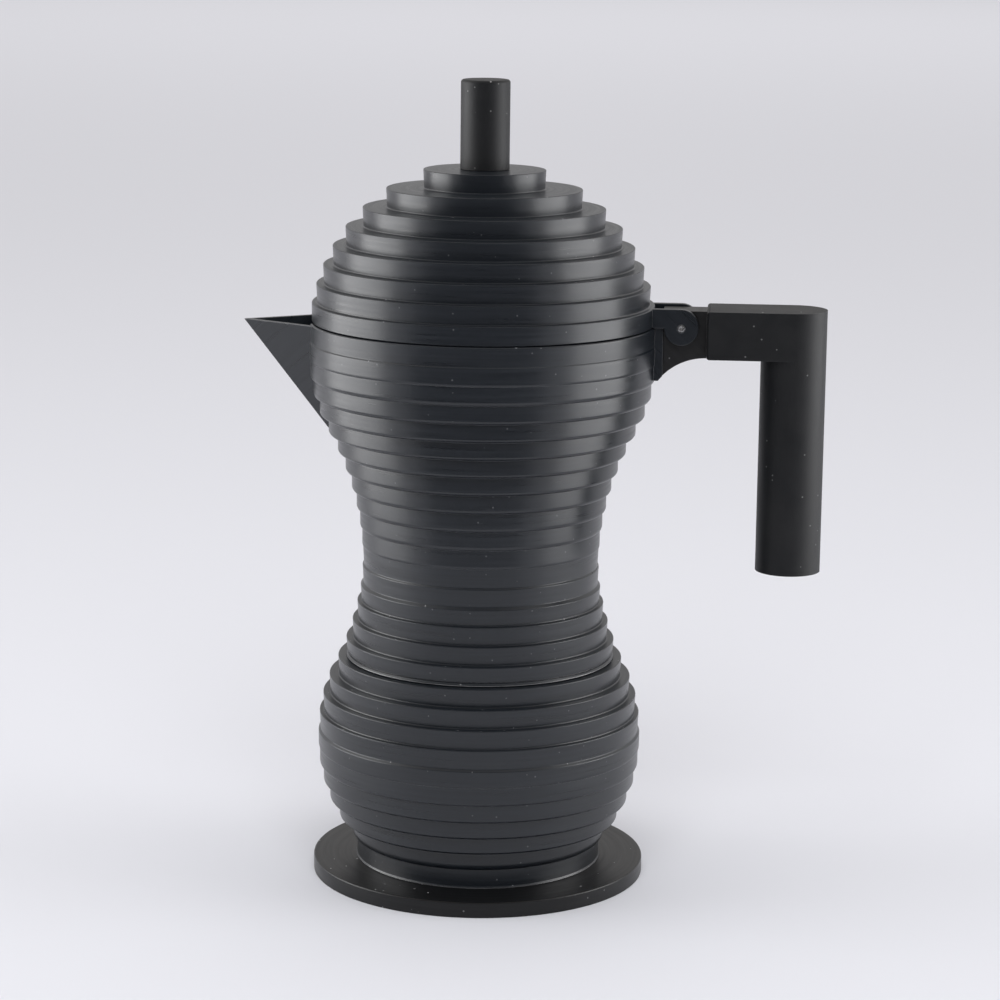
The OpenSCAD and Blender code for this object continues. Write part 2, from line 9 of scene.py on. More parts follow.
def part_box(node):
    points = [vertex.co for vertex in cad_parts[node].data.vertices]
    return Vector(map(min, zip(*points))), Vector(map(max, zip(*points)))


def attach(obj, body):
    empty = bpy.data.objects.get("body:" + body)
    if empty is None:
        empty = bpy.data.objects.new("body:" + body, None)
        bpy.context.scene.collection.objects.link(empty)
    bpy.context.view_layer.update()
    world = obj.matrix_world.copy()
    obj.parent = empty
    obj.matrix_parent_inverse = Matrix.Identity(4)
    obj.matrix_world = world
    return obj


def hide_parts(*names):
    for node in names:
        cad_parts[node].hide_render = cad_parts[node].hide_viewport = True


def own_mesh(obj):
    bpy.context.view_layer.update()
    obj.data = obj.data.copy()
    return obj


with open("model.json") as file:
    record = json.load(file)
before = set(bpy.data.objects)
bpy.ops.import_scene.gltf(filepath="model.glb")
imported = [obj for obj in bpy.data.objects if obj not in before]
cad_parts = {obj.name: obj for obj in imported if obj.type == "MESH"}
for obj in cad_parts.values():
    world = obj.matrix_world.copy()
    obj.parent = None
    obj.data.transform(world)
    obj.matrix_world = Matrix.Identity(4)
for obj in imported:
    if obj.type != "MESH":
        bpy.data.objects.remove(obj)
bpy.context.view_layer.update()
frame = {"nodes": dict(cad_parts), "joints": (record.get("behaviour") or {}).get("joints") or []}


# ---------------------------------------------------------------------------------------
# Studio. A pale sheet runs out flat behind and under the pot, and a wrap of soft light stands
# all round it, dim on the viewer's side. Tall soft boxes and low strips stand left and right,
# two fills light only the sheet, and a dark screen keeps the pot's front dark.
# ---------------------------------------------------------------------------------------
def put(tree, kind, *wires, **settings):
    """Adds a node. A wire is (input, value) or (input, output to link from)."""
    new = tree.nodes.new("ShaderNode" + kind)
    for label, value in settings.items():
        setattr(new, label, value)
    for label, value in wires:
        if isinstance(value, bpy.types.NodeSocket):
            tree.links.new(value, new.inputs[label])
        else:
            new.inputs[label].default_value = value
    return new


def ramp(tree, source, *stops, colour=False):
    """Maps a value through stops of (place, grey level or colour)."""
    new = put(tree, "ValToRGB", ("Fac", source))
    line = new.color_ramp
    while len(line.elements) < len(stops):
        line.elements.new(1.0)
    for element, (place, level) in zip(line.elements, stops):
        element.position = place
        element.color = (*level, 1.0) if colour else (level, level, level, 1.0)
    return new.outputs["Color"]


def stand(name, data):
    """Puts a new object into the scene."""
    thing = bpy.data.objects.new(name, data)
    bpy.context.scene.collection.objects.link(thing)
    return thing


def new_paint(name):
    """A new material, with its node tree and its shader."""
    paint = bpy.data.materials.new(name)
    paint.use_nodes = True
    return paint, paint.node_tree, paint.node_tree.nodes["Principled BSDF"]


def dull_sheet(name, points, faces, colour, gloss):
    """A thin dull sheet that belongs to the studio."""
    mesh = bpy.data.meshes.new(name)
    mesh.from_pydata(points, [], faces)
    paint, _, shader = new_paint(name)
    shader.inputs["Base Color"].default_value = (*colour, 1)
    shader.inputs["Roughness"].default_value = 0.9
    shader.inputs["Specular IOR Level"].default_value = gloss
    mesh.materials.append(paint)
    sheet = stand(name, mesh)
    return sheet


def soft_box(name, place, aim, width, tall, watts):
    """A rectangular area light that faces the point aim."""
    lamp = bpy.data.lights.new(name, "AREA")
    lamp.shape = "RECTANGLE"
    lamp.size = width
    lamp.size_y = tall
    lamp.energy = watts
    box = stand(name, lamp)
    box.location = place
    box.rotation_euler = (Vector(aim) - Vector(place)).to_track_quat("-Z", "Y").to_euler()
    return box


FLOOR_COLOUR = (0.75, 0.765, 0.82)
FLOOR_HALF = 14.0
SCREEN_COLOUR = (0.12, 0.12, 0.13)
SCREEN_R = 0.45
SCREEN_TALL = 0.22
SCREEN_HALF = math.radians(42)
SCREEN_STEPS = 16
WRAP_STRENGTH = 1.25
CAMERA_PLACE = Vector((0.07508, -0.98675, 0.32338))
CAMERA_LOOK = Vector((-0.06848, 0.97753, -0.19941))
CAMERA_ROLL = math.radians(0.666)
CAMERA_LENS = 113.6

camera_data = bpy.data.cameras.new("studio_camera")
camera_data.lens = CAMERA_LENS
camera_data.sensor_width = 36.0
camera_data.clip_end = 60.0
camera = stand("studio_camera", camera_data)
camera.location = CAMERA_PLACE
camera.rotation_mode = "QUATERNION"
camera.rotation_quaternion = (
    CAMERA_LOOK.to_track_quat("-Z", "Y") @ Quaternion((0, 0, 1), CAMERA_ROLL)
)
bpy.context.scene.camera = camera
bpy.context.scene.view_settings.view_transform = "Standard"

corners = [(x * FLOOR_HALF, y * FLOOR_HALF, 0) for x, y in ((-1, -1), (1, -1), (1, 1), (-1, 1))]
dull_sheet("floor_sheet", corners, [(0, 1, 2, 3)], FLOOR_COLOUR, 0.1)

world = bpy.data.worlds.new("studio_wrap")
bpy.context.scene.world = world
world.use_nodes = True
sky = world.node_tree
direction = put(sky, "TexCoord").outputs["Generated"]
split = put(sky, "SeparateXYZ", (0, direction))
depth = put(sky, "MapRange", ("Value", split.outputs["Y"]), ("From Min", -1.0), ("From Max", 1.0))
wrap = ramp(
    sky, depth.outputs[0],
    (0.0, 0.16), (0.22, 0.24), (0.42, 0.95), (0.62, 1.0), (0.85, 0.68), (1.0, 0.42),
)
height = ramp(
    sky, split.outputs["Z"],
    (0.0, (1.0, 1.0, 1.04)), (0.35, (0.95, 0.93, 0.92)), (1.0, (0.62, 0.59, 0.57)), colour=True,
)
light = put(sky, "Mix", ("Factor", 1.0), (6, wrap), (7, height), data_type="RGBA", blend_type="MULTIPLY")
sky.nodes["Background"].inputs["Strength"].default_value = WRAP_STRENGTH
sky.links.new(light.outputs[2], sky.nodes["Background"].inputs["Color"])

soft_box("soft_box_left", (-1.5, -0.1, 0.75), (0, 0, 0.13), 0.9, 1.5, 5.5)
soft_box("soft_box_right", (1.5, 0.0, 0.75), (0, 0, 0.13), 0.8, 1.5, 4.4)
for side, watts in ((-1, 2.3), (1, 2.0)):
    strip = soft_box("low_strip", (0.62 * side, -0.02, 0.17), (0, -0.02, 0.15), 0.55, 0.33, watts)
    strip.visible_diffuse = False
for name, place, aim, width, watts in (
    ("front_fill", (0.1, -1.6, 1.7), (0, -0.1, 0), 1.6, 24.0),
    ("back_fill", (0.0, 5.5, 4.0), (0, 4.5, 0), 5.0, 62.0),
):
    soft_box(name, place, aim, width, 0.75 * width, watts).visible_glossy = False

# The dark screen curves round the front, low down, where only reflections can see it
screen_ways = [SCREEN_HALF * (2 * k / SCREEN_STEPS - 1) for k in range(SCREEN_STEPS + 1)]
screen = dull_sheet(
    "dark_screen",
    [(SCREEN_R * math.sin(a), -SCREEN_R * math.cos(a), z) for a in screen_ways for z in (0, SCREEN_TALL)],
    [(2 * k, 2 * k + 1, 2 * k + 3, 2 * k + 2) for k in range(SCREEN_STEPS)], SCREEN_COLOUR, 0.5,
)
screen.visible_camera = False
screen.visible_diffuse = False
screen.visible_shadow = False


# ---------------------------------------------------------------------------------------
# Base plate. A steel disc with soft edges, coated smooth satin black. The boiler is screwed
# down onto it, and it is what stands on the hob.
# ---------------------------------------------------------------------------------------
MM = 0.001
TURNS = 192


def span(node):
    """Lowest and highest corner of a CAD node, in millimetres."""
    low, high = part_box(node)
    return low / MM, high / MM


def make(name, points, faces):
    """A closed mesh from points in millimetres, with its faces turned outwards."""
    mesh = bpy.data.meshes.new(name)
    mesh.from_pydata([Vector(p) * MM for p in points], [], faces)
    work = bmesh.new()
    work.from_mesh(mesh)
    bmesh.ops.recalc_face_normals(work, faces=work.faces)
    work.to_mesh(mesh)
    work.free()
    return stand(name, mesh)


def rounded(corners):
    """Outline through corners (r, z, round) or (r, z, round before, round after)."""
    outline = []
    for i, corner in enumerate(corners):
        here = Vector(corner[:2])
        rounds = (corner[2], corner[-1]) if len(corner) > 2 else (0, 0)
        if max(rounds) <= 0:
            outline.append(here)
            continue
        before = Vector(corners[i - 1][:2]) - here
        after = Vector(corners[(i + 1) % len(corners)][:2]) - here
        weight = math.sin(before.angle(after) / 2)
        start = here + before.normalized() * min(rounds[0], 0.8 * before.length)
        end = here + after.normalized() * min(rounds[1], 0.8 * after.length)
        count = 3 + int(1.5 * max(rounds))
        for k in range(count + 1):
            t = k / count
            parts = ((1 - t) ** 2, 2 * t * (1 - t) * weight, t ** 2)
            outline.append((start * parts[0] + here * parts[1] + end * parts[2]) / sum(parts))
    return outline


def turned(name, outline, turns=TURNS):
    """A lathe-turned solid from a closed outline of (r, z) points."""
    points, rows = [], []
    for r, z in outline:
        if r < 1e-6:
            rows.append([len(points)] * turns)
            points.append((0, 0, z))
            continue
        rows.append(range(len(points), len(points) + turns))
        for k in range(turns):
            angle = 2 * math.pi * k / turns
            points.append((r * math.cos(angle), r * math.sin(angle), z))
    faces = []
    for low, high in zip(rows, rows[1:] + rows[:1]):
        for k in range(turns):
            n = (k + 1) % turns
            face = dict.fromkeys((low[k], low[n], high[n], high[k]))
            if len(face) > 2:
                faces.append(list(face))
    return make(name, points, faces)


def shade(piece, sharp=35):
    """Smooth shading, with flat faces kept flat and hard corners kept hard."""
    mesh = piece.data
    mesh.shade_smooth()
    mesh.set_sharp_from_angle(angle=math.radians(sharp))
    normals = piece.modifiers.new("normals", "WEIGHTED_NORMAL")
    normals.keep_sharp = True
    settle(piece)


def settle(piece):
    """Applies a piece's modifiers to its mesh."""
    bpy.context.view_layer.update()
    graph = bpy.context.evaluated_depsgraph_get()
    mesh = bpy.data.meshes.new_from_object(piece.evaluated_get(graph), depsgraph=graph)
    piece.modifiers.clear()
    old = piece.data
    piece.data = mesh
    mesh.name = piece.name
    bpy.data.meshes.remove(old)


def install(piece, node, body, material, sharp=35):
    """Shades and paints a piece, and puts it on its body in place of the plain one."""
    shade(piece, sharp)
    piece.data.materials.clear()
    piece.data.materials.append(material)
    frame["nodes"][node].data.materials.clear()
    frame["nodes"][node].data.materials.append(material)
    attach(piece, body)
    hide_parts(node)


def effect(name, inputs, outputs):
    """An empty node group with number inputs and outputs."""
    group = bpy.data.node_groups.new(name, "ShaderNodeTree")
    for label, value in inputs.items():
        socket = group.interface.new_socket(label, in_out="INPUT", socket_type="NodeSocketFloat")
        socket.default_value = value
    for label in outputs:
        group.interface.new_socket(label, in_out="OUTPUT", socket_type="NodeSocketFloat")
    return group, group.nodes.new("NodeGroupInput"), group.nodes.new("NodeGroupOutput")


def calc(tree, operation, *values, clamp=False):
    """A Math node's result."""
    wires = enumerate(values)
    return put(tree, "Math", *wires, operation=operation, use_clamp=clamp).outputs[0]


# Fine marks that a lathe leaves: rings on flat faces, level lines on walls
turned_lines, entry, leave = effect("turned_lines", {"Fineness": 3000.0}, ["Height", "Streaks"])
spot = put(turned_lines, "TexCoord").outputs["Object"]
axes = put(turned_lines, "SeparateXYZ", (0, spot))
flat = put(turned_lines, "CombineXYZ", (0, axes.outputs["X"]), (1, axes.outputs["Y"]))
radius = put(turned_lines, "VectorMath", (0, flat.outputs[0]), operation="LENGTH").outputs["Value"]
across = calc(turned_lines, "ADD", radius, axes.outputs["Z"])
for label, share, detail in (("Height", 1.0, 3.0), ("Streaks", 0.3, 5.0)):
    pitch = calc(turned_lines, "MULTIPLY", entry.outputs["Fineness"], share)
    line = calc(turned_lines, "MULTIPLY", across, pitch)
    around = put(turned_lines, "VectorMath", (0, flat.outputs[0]), (3, 22.0), operation="SCALE")
    place = put(turned_lines, "VectorMath", (0, around.outputs[0]), operation="ADD")
    lift = put(turned_lines, "CombineXYZ", (2, line))
    turned_lines.links.new(lift.outputs[0], place.inputs[1])
    noise = put(turned_lines, "TexNoise", ("Vector", place.outputs[0]), ("Scale", 1.0), ("Detail", detail),
                ("Roughness", 0.65))
    turned_lines.links.new(noise.outputs["Fac"], leave.inputs[label])

# The even, slightly pebbled skin of a sprayed coat or of a moulding
fine_grain, entry, leave = effect("fine_grain", {"Fineness": 2500.0}, ["Height", "Mottle"])
spot = put(fine_grain, "TexCoord").outputs["Object"]
for label, share, detail in (("Height", 1.0, 2.0), ("Mottle", 0.02, 6.0)):
    size = calc(fine_grain, "MULTIPLY", entry.outputs["Fineness"], share)
    noise = put(fine_grain, "TexNoise", ("Vector", spot), ("Scale", size), ("Detail", detail),
                ("Roughness", 0.6))
    fine_grain.links.new(noise.outputs["Fac"], leave.inputs[label])

# Corners, convex and hollow alike: partly where the finish is thin and rubbed, partly a painted highlight
# for the bright lines the fillets catch; broken up along their length
edge_wear_and_highlight, entry, leave = effect("edge_wear_and_highlight", {"Reach": 0.00035, "Amount": 1.0}, ["Mask"])
own = put(edge_wear_and_highlight, "NewGeometry").outputs["Normal"]
eased = put(edge_wear_and_highlight, "Bevel", ("Radius", entry.outputs["Reach"]))
same = put(edge_wear_and_highlight, "VectorMath", (0, own), (1, eased.outputs[0]), operation="DOT_PRODUCT")
turned_away = calc(edge_wear_and_highlight, "SUBTRACT", 1.0, same.outputs["Value"])
edge = calc(edge_wear_and_highlight, "MULTIPLY_ADD", turned_away, 9.0, -0.9, clamp=True)
spot = put(edge_wear_and_highlight, "TexCoord").outputs["Object"]
patch = put(edge_wear_and_highlight, "TexNoise", ("Vector", spot), ("Scale", 160.0), ("Detail", 4.0), ("Roughness", 0.7))
broken = ramp(edge_wear_and_highlight, patch.outputs["Fac"], (0.30, 0.35), (0.62, 1.0))
worn_and_highlit = calc(edge_wear_and_highlight, "MULTIPLY", edge, broken)
worn_and_highlit = calc(edge_wear_and_highlight, "MULTIPLY", worn_and_highlit, entry.outputs["Amount"], clamp=True)
edge_wear_and_highlight.links.new(worn_and_highlit, leave.inputs["Mask"])

# Specks of dust, thickest on what faces up
settled_dust, entry, leave = effect("settled_dust", {"Amount": 1.0, "Spacing": 420.0}, ["Mask"])
spot = put(settled_dust, "TexCoord").outputs["Object"]
cells = put(settled_dust, "TexVoronoi", ("Vector", spot), ("Scale", entry.outputs["Spacing"]),
            ("Randomness", 1.0))
speck = calc(settled_dust, "LESS_THAN", cells.outputs["Distance"], 0.11)
pick = put(settled_dust, "SeparateColor", (0, cells.outputs["Color"]))
few = calc(settled_dust, "GREATER_THAN", pick.outputs[0], 0.80)
facing = put(settled_dust, "SeparateXYZ", (0, put(settled_dust, "NewGeometry").outputs["Normal"]))
up = calc(settled_dust, "MULTIPLY_ADD", facing.outputs["Z"], 0.7, 0.3, clamp=True)
mask = calc(settled_dust, "MULTIPLY", calc(settled_dust, "MULTIPLY", speck, few), up)
mask = calc(settled_dust, "MULTIPLY", mask, entry.outputs["Amount"], clamp=True)
settled_dust.links.new(mask, leave.inputs["Mask"])


def place_effect(tree, group, **values):
    """Places an effect in a material with its own values."""
    new = tree.nodes.new("ShaderNodeGroup")
    new.node_tree = group
    for label, value in values.items():
        new.inputs[label].default_value = value
    return new.outputs


DUST_COLOUR = (0.55, 0.55, 0.57)


def blend_colour(tree, amount, low, high):
    """Mixes two colours by a mask."""
    mix = put(tree, "Mix", ("Factor", amount), data_type="RGBA")
    for index, colour in ((6, low), (7, high)):
        if isinstance(colour, bpy.types.NodeSocket):
            tree.links.new(colour, mix.inputs[index])
        else:
            mix.inputs[index].default_value = (*colour, 1)
    return mix.outputs[2]


def raise_skin(tree, shader, height, depth):
    """Lifts the surface by a height map, to a depth in metres."""
    bump = put(tree, "Bump", ("Height", height), ("Distance", depth), ("Strength", 1.0))
    tree.links.new(bump.outputs[0], shader.inputs["Normal"])


def satin_coat(name, colour, wear_and_highlight_colour, roughness, gloss, fineness, marks, wear_and_highlight, dust):
    """A satin black coat that shows the lathe's marks under it."""
    paint, tree, shader = new_paint(name)
    shader.inputs["Specular IOR Level"].default_value = gloss
    lines = place_effect(tree, turned_lines, Fineness=fineness)
    grain = place_effect(tree, fine_grain, Fineness=2600.0)
    edges = place_effect(tree, edge_wear_and_highlight, Reach=0.00035, Amount=wear_and_highlight)
    specks = place_effect(tree, settled_dust, Amount=dust)
    lighter = tuple(1.5 * c + 0.0025 for c in colour)
    tone = blend_colour(tree, ramp(tree, lines["Streaks"], (0.38, 0.0), (0.66, 1.0)), colour, lighter)
    tone = blend_colour(tree, calc(tree, "MULTIPLY", grain["Mottle"], 0.35), tone, lighter)
    # Painted highlight: corners, convex and hollow, are lightened to a pale grey, partly as rubbed coat,
    # partly for the bright lines the ring edges catch
    tone = blend_colour(tree, edges["Mask"], tone, wear_and_highlight_colour)
    tone = blend_colour(tree, specks["Mask"], tone, DUST_COLOUR)
    tree.links.new(tone, shader.inputs["Base Color"])
    sheen = put(tree, "MapRange", ("Value", lines["Streaks"]), ("From Min", 0.3), ("From Max", 0.7),
                ("To Min", roughness - 0.05), ("To Max", roughness + 0.06)).outputs[0]
    sheen = calc(tree, "MULTIPLY_ADD", specks["Mask"], 0.4, sheen)
    tree.links.new(sheen, shader.inputs["Roughness"])
    cut = calc(tree, "MULTIPLY", lines["Height"], marks)
    skin = calc(tree, "MULTIPLY_ADD", grain["Height"], 0.5, cut)
    raise_skin(tree, shader, skin, 0.000012)
    return paint


plate_coat = satin_coat(
    "plate_coat", (0.0035, 0.0037, 0.0042), (0.22, 0.22, 0.22), 0.34, 0.34, 2400.0, 0.3, 0.5, 0.9
)

_, plate_top = span("base_plate")
plate_r, plate_t = plate_top.x, plate_top.z
PLATE_ROUND = 0.5
PLATE_FOOT_ROUND = 0.2
plate = turned("base_plate_disc", rounded([
    (0, 0), (plate_r, 0, PLATE_FOOT_ROUND), (plate_r, plate_t, PLATE_ROUND), (0, plate_t),
]))
install(plate, "base_plate", "base", plate_coat)


# ---------------------------------------------------------------------------------------
# Boiler. Cast aluminium, turned outside into ten rings that follow a round belly, and coated
# satin black. A threaded neck stands on it, and the safety valve's seat is milled at the back.
# ---------------------------------------------------------------------------------------
RING_H = 6.0
SPHERE_R = 55.0
CROWN_OVER = 0.5
WAIST_ARC_R = 87.4
BULB_R = 52.0
BULB_ARC_R = 46.5
BULB_AT = 5.55
BOILER_RINGS = 10
FOOT_H = 6.3
FOOT_STEP = 1.4
WALL = 3.8
BOILER_FLOOR_T = 5.5
ROOF_T = 4.0
NECK_WALL = 3.2
DRAFT = 0.3
SMALL_STEP = 0.9
SWELL = 0.75
SWELL_FROM = 91.0
SWELL_TO = 170.5
SEAT_GAP = 0.05

lid_top = span("knob")[0].z
ring_z = plate_t + FOOT_H
boiler_top = ring_z + BOILER_RINGS * RING_H
neck_top = span("boiler")[1].z
sphere_z = lid_top + CROWN_OVER - SPHERE_R
bulb_x = BULB_R - BULB_ARC_R
bulb_z = ring_z + BULB_AT * RING_H

# The hollow arc of the waist touches the sphere above and the round belly below
to_sphere = SPHERE_R + WAIST_ARC_R
to_bulb = BULB_ARC_R + WAIST_ARC_R
between = math.hypot(bulb_x, sphere_z - bulb_z)
along = (to_sphere ** 2 - to_bulb ** 2 + between ** 2) / (2 * between)
aside = math.sqrt(to_sphere ** 2 - along ** 2)
way = (bulb_x / between, (bulb_z - sphere_z) / between)
waist_x = way[0] * along - way[1] * aside
waist_z = sphere_z + way[1] * along + way[0] * aside
sphere_join = sphere_z + (waist_z - sphere_z) * SPHERE_R / to_sphere
bulb_join = bulb_z + (waist_z - bulb_z) * BULB_ARC_R / to_bulb


def pot_radius(z):
    """Radius of the pot's smooth outline at height z."""
    if z > sphere_join:
        return math.sqrt(max(SPHERE_R ** 2 - (z - sphere_z) ** 2, 0))
    if z > bulb_join:
        return waist_x - math.sqrt(WAIST_ARC_R ** 2 - (z - waist_z) ** 2)
    return bulb_x + math.sqrt(BULB_ARC_R ** 2 - (z - bulb_z) ** 2)


def ring_radius(z):
    """The rings stand a little proud of the smooth outline, most of all under the rim."""
    over = (z - SWELL_FROM) / (SWELL_TO - SWELL_FROM)
    if not 0 < over < 1:
        return pot_radius(z)
    return pot_radius(z) + SWELL * math.sin(math.pi * over ** 1.6) ** 0.8


def ring_corners(z, count):
    """Corners of a stack of turned rings from the bottom up, without its two end corners.

    A ring that is wider than the one under it is rounded off below. One that is narrower
    leaves a tread: its foot runs out in a small hollow, and the tread's edge is broken.
    A step too small for a tread is one slanting band.
    """
    radii = [ring_radius(z + (i + 0.5) * RING_H) for i in range(count)]
    corners = []
    for i in range(count - 1):
        low, high, level = radii[i], radii[i + 1], z + (i + 1) * RING_H
        step = abs(high - low)
        if high > low:
            corners.append((low, level, 0.12 * step, 0.12 * step))
            corners.append((high, level, 0.8 * step, min(1.3, 0.6 + 1.2 * step)))
        elif step < SMALL_STEP:
            band = 0.35 + 0.9 * step
            corners.append((low, level - band, 0.15))
            corners.append((high - DRAFT, level, 0.15))
        else:
            corners.append((low, level, 0.28))
            corners.append((high - DRAFT, level, 0.42))
    return corners, radii


def lining(low, high, count):
    """Inner wall of a casting, one wall behind the outline, from the top down."""
    levels = [low + (high - low) * i / count for i in range(count, -1, -1)]
    return [(pot_radius(z) - WALL, z) for z in levels]


def boolean(piece, tool, operation="DIFFERENCE"):
    """Cuts, joins or intersects a piece with a tool, and discards the tool."""
    change = piece.modifiers.new("tool", "BOOLEAN")
    change.operation = operation
    change.solver = "MANIFOLD"
    change.object = tool
    settle(piece)
    bpy.data.objects.remove(tool)
    return piece


def helix(name, coil_r, z0, pitch, coils, section, steps=48, run_out=0.0, ease=0.0):
    """A closed tube along a helix. Section is points of (outwards, up), run_out lifts both
    ends outwards, and ease lays both ends closer to the next coil."""
    points, faces = [], []
    count, last = len(section), int(steps * coils)
    for k in range(last + 1):
        turn = k / steps
        from_end = min(turn, coils - turn)
        shift = run_out * max(0.0, 1 - 6 * from_end)
        middle = turn - coils / 2
        rise = middle * (1 - ease * (2 * abs(middle) / coils) ** 3) * pitch + pitch * coils / 2
        angle = 2 * math.pi * turn
        for out, up in section:
            r = coil_r + out + shift
            points.append((r * math.cos(angle), r * math.sin(angle), z0 + rise + up))
        if k:
            for s in range(count):
                n = (s + 1) % count
                faces.append([(k - 1) * count + s, (k - 1) * count + n, k * count + n, k * count + s])
    faces.append(list(range(count))[::-1])
    faces.append([last * count + s for s in range(count)])
    return make(name, points, faces)


def aim_at_y(piece, z, y=0.0, x=0.0):
    """Lays a piece made along +Z down along +Y, with its foot at the point x, y, z."""
    turn = Matrix.Translation(Vector((x, y, z)) * MM) @ Matrix.Rotation(math.radians(-90), 4, "X")
    piece.data.transform(turn)
    return piece


def rod(name, r, z0, z1, turns=48):
    """A plain round cutter between two heights."""
    return turned(name, [(0, z0), (r, z0), (r, z1), (0, z1)], turns)


body_coat = satin_coat(
    "body_coat", (0.006, 0.0082, 0.0115), (0.30, 0.305, 0.32), 0.31, 0.55, 3200.0, 0.6, 0.8, 0.5
)

THREAD_PITCH = 3.0
THREAD_DEPTH = 0.9
THREAD_GAP = 0.4
THREAD_RUN_OUT = 1.2
THREAD_SECTION = [(0.4, -0.9), (0.4, 0.9), (-THREAD_DEPTH, 0.35), (-THREAD_DEPTH, -0.35)]
NECK_THREAD_AT = 3.2
NECK_COILS = 3.1
SKIRT_WALL = 3.1
FOOT_LIP = 0.3
FOOT_LIP_H = 0.55
skirt_r = pot_radius(span("gasket")[1].z + SEAT_GAP) - SKIRT_WALL
neck_r = skirt_r - THREAD_GAP
neck_bore_r = neck_r - NECK_WALL
roof_z = boiler_top - ROOF_T
boiler_floor = plate_t + BOILER_FLOOR_T
rings, radii = ring_corners(ring_z, BOILER_RINGS)
foot_r = radii[0] - FOOT_STEP
boiler = turned("boiler_casting", rounded(
    [(0, plate_t), (foot_r + FOOT_LIP, plate_t, 0.1), (foot_r + FOOT_LIP, plate_t + 0.15, 0.1),
     (foot_r, plate_t + FOOT_LIP_H, 0.15), (foot_r, ring_z, 0.3), (radii[0], ring_z, 1.1, 2.0)]
    + rings
    + [(radii[-1], boiler_top, 0.28), (neck_r, boiler_top, 0.5), (neck_r, neck_top, 0.5),
       (neck_bore_r, neck_top, 0.6), (neck_bore_r, roof_z, 0.4)]
    + [(r, z, 0) for r, z in lining(boiler_floor, roof_z, 16)]
    + [(0, boiler_floor)]
))
boolean(boiler, helix(
    "neck_thread", neck_r, boiler_top + NECK_THREAD_AT, THREAD_PITCH, NECK_COILS, THREAD_SECTION,
    run_out=THREAD_RUN_OUT,
))
VALVE_FLATS = 12.0
VALVE_R = 4.4
VALVE_SHANK = 5.0
SPOT_FACE_R = 7.8
CLEAR = 20
valve_low, valve_high = span("valve_body")
valve_z = (valve_low.z + valve_high.z) / 2
valve_seat = valve_low.y + VALVE_SHANK
boolean(boiler, aim_at_y(rod("seat_cutter", SPOT_FACE_R, 0, CLEAR, 96), valve_z, valve_seat))
boolean(boiler, aim_at_y(rod("valve_hole", VALVE_R, -CLEAR, CLEAR, 96), valve_z, valve_seat))
install(boiler, "boiler", "base", body_coat)


# ---------------------------------------------------------------------------------------
# Safety valve. A brass body screwed into the back of the boiler, with a hexagon for the
# spanner. A steel pin closes its steam hole, a spring holds it shut and a cap keeps both in.
# ---------------------------------------------------------------------------------------
def bare_metal(name, colour, shadow, roughness, fineness, scratches):
    """A bare metal with fine working marks and slightly duller patches."""
    paint, tree, shader = new_paint(name)
    shader.inputs["Metallic"].default_value = 1.0
    lines = place_effect(tree, turned_lines, Fineness=fineness)
    grain = place_effect(tree, fine_grain, Fineness=1800.0)
    edges = place_effect(tree, edge_wear_and_highlight, Reach=0.0003, Amount=0.6)
    patches = ramp(tree, grain["Mottle"], (0.35, 0.0), (0.68, 1.0))
    tone = blend_colour(tree, patches, colour, shadow)
    # Corners, convex and hollow, are lightened a little: partly burnished metal, partly painted highlight
    tone = blend_colour(tree, edges["Mask"], tone, tuple(min(1.0, 1.15 * c) for c in colour))
    tree.links.new(tone, shader.inputs["Base Color"])
    dull = put(
        tree, "MapRange", ("Value", patches), ("To Min", roughness - 0.06), ("To Max", roughness + 0.1)
    )
    tree.links.new(dull.outputs[0], shader.inputs["Roughness"])
    cut = calc(tree, "MULTIPLY", lines["Height"], scratches)
    skin = calc(tree, "MULTIPLY_ADD", grain["Height"], 0.3, cut)
    raise_skin(tree, shader, skin, 0.00001)
    return paint


brass = bare_metal("brass", (0.72, 0.52, 0.24), (0.55, 0.37, 0.16), 0.30, 3000.0, 0.5)
steel = bare_metal("steel", (0.58, 0.585, 0.60), (0.46, 0.465, 0.48), 0.28, 3000.0, 0.4)

HEX_T = 4.0
BARREL_H = 7.0
VALVE_BORE_R = 3.0
STEAM_R = 1.5
SEAT_FACE = 0.6
PLUG_R = 2.5
PLUG_H = 2.0
STEM_R = 1.1
STEM_OUT = 1.6
WIRE_D = 0.6
WIRE_SIDES = 10
WIRE_GAP = 0.02
SPRING_COILS = 5.0
CAP_T = 1.4
HEX_FACE_R = 6.25
HEX_EDGE_R = 7.1
HEX_BREAK = 0.6
GROOVE_Z = 5.2
GROOVE_DEEP = 0.5
barrel_end = HEX_T + BARREL_H
plug_z = -SEAT_FACE + SEAT_GAP
spring_end = barrel_end - CAP_T

hexagon = turned("valve_hexagon", [(0, 0), (VALVE_FLATS / math.sqrt(3), 0),
                                   (VALVE_FLATS / math.sqrt(3), HEX_T), (0, HEX_T)], turns=6)
boolean(hexagon, turned("hexagon_chamfer", [
    (0, 0), (HEX_FACE_R, 0), (HEX_EDGE_R, HEX_BREAK), (HEX_EDGE_R, HEX_T - HEX_BREAK),
    (HEX_FACE_R, HEX_T), (0, HEX_T),
], 64), "INTERSECT")
barrel = turned("valve_brass", rounded([
    (0, -VALVE_SHANK), (VALVE_R, -VALVE_SHANK, 0.5), (VALVE_R, GROOVE_Z, 0.1),
    (VALVE_R - GROOVE_DEEP, GROOVE_Z + 0.2, 0.1), (VALVE_R - GROOVE_DEEP, GROOVE_Z + 0.7, 0.1),
    (VALVE_R, GROOVE_Z + 0.9, 0.1), (VALVE_R, barrel_end, 0.5), (0, barrel_end),
]), 96)
boolean(barrel, hexagon, "UNION")
boolean(barrel, rod("spring_bore", VALVE_BORE_R, -SEAT_FACE, barrel_end + 2))
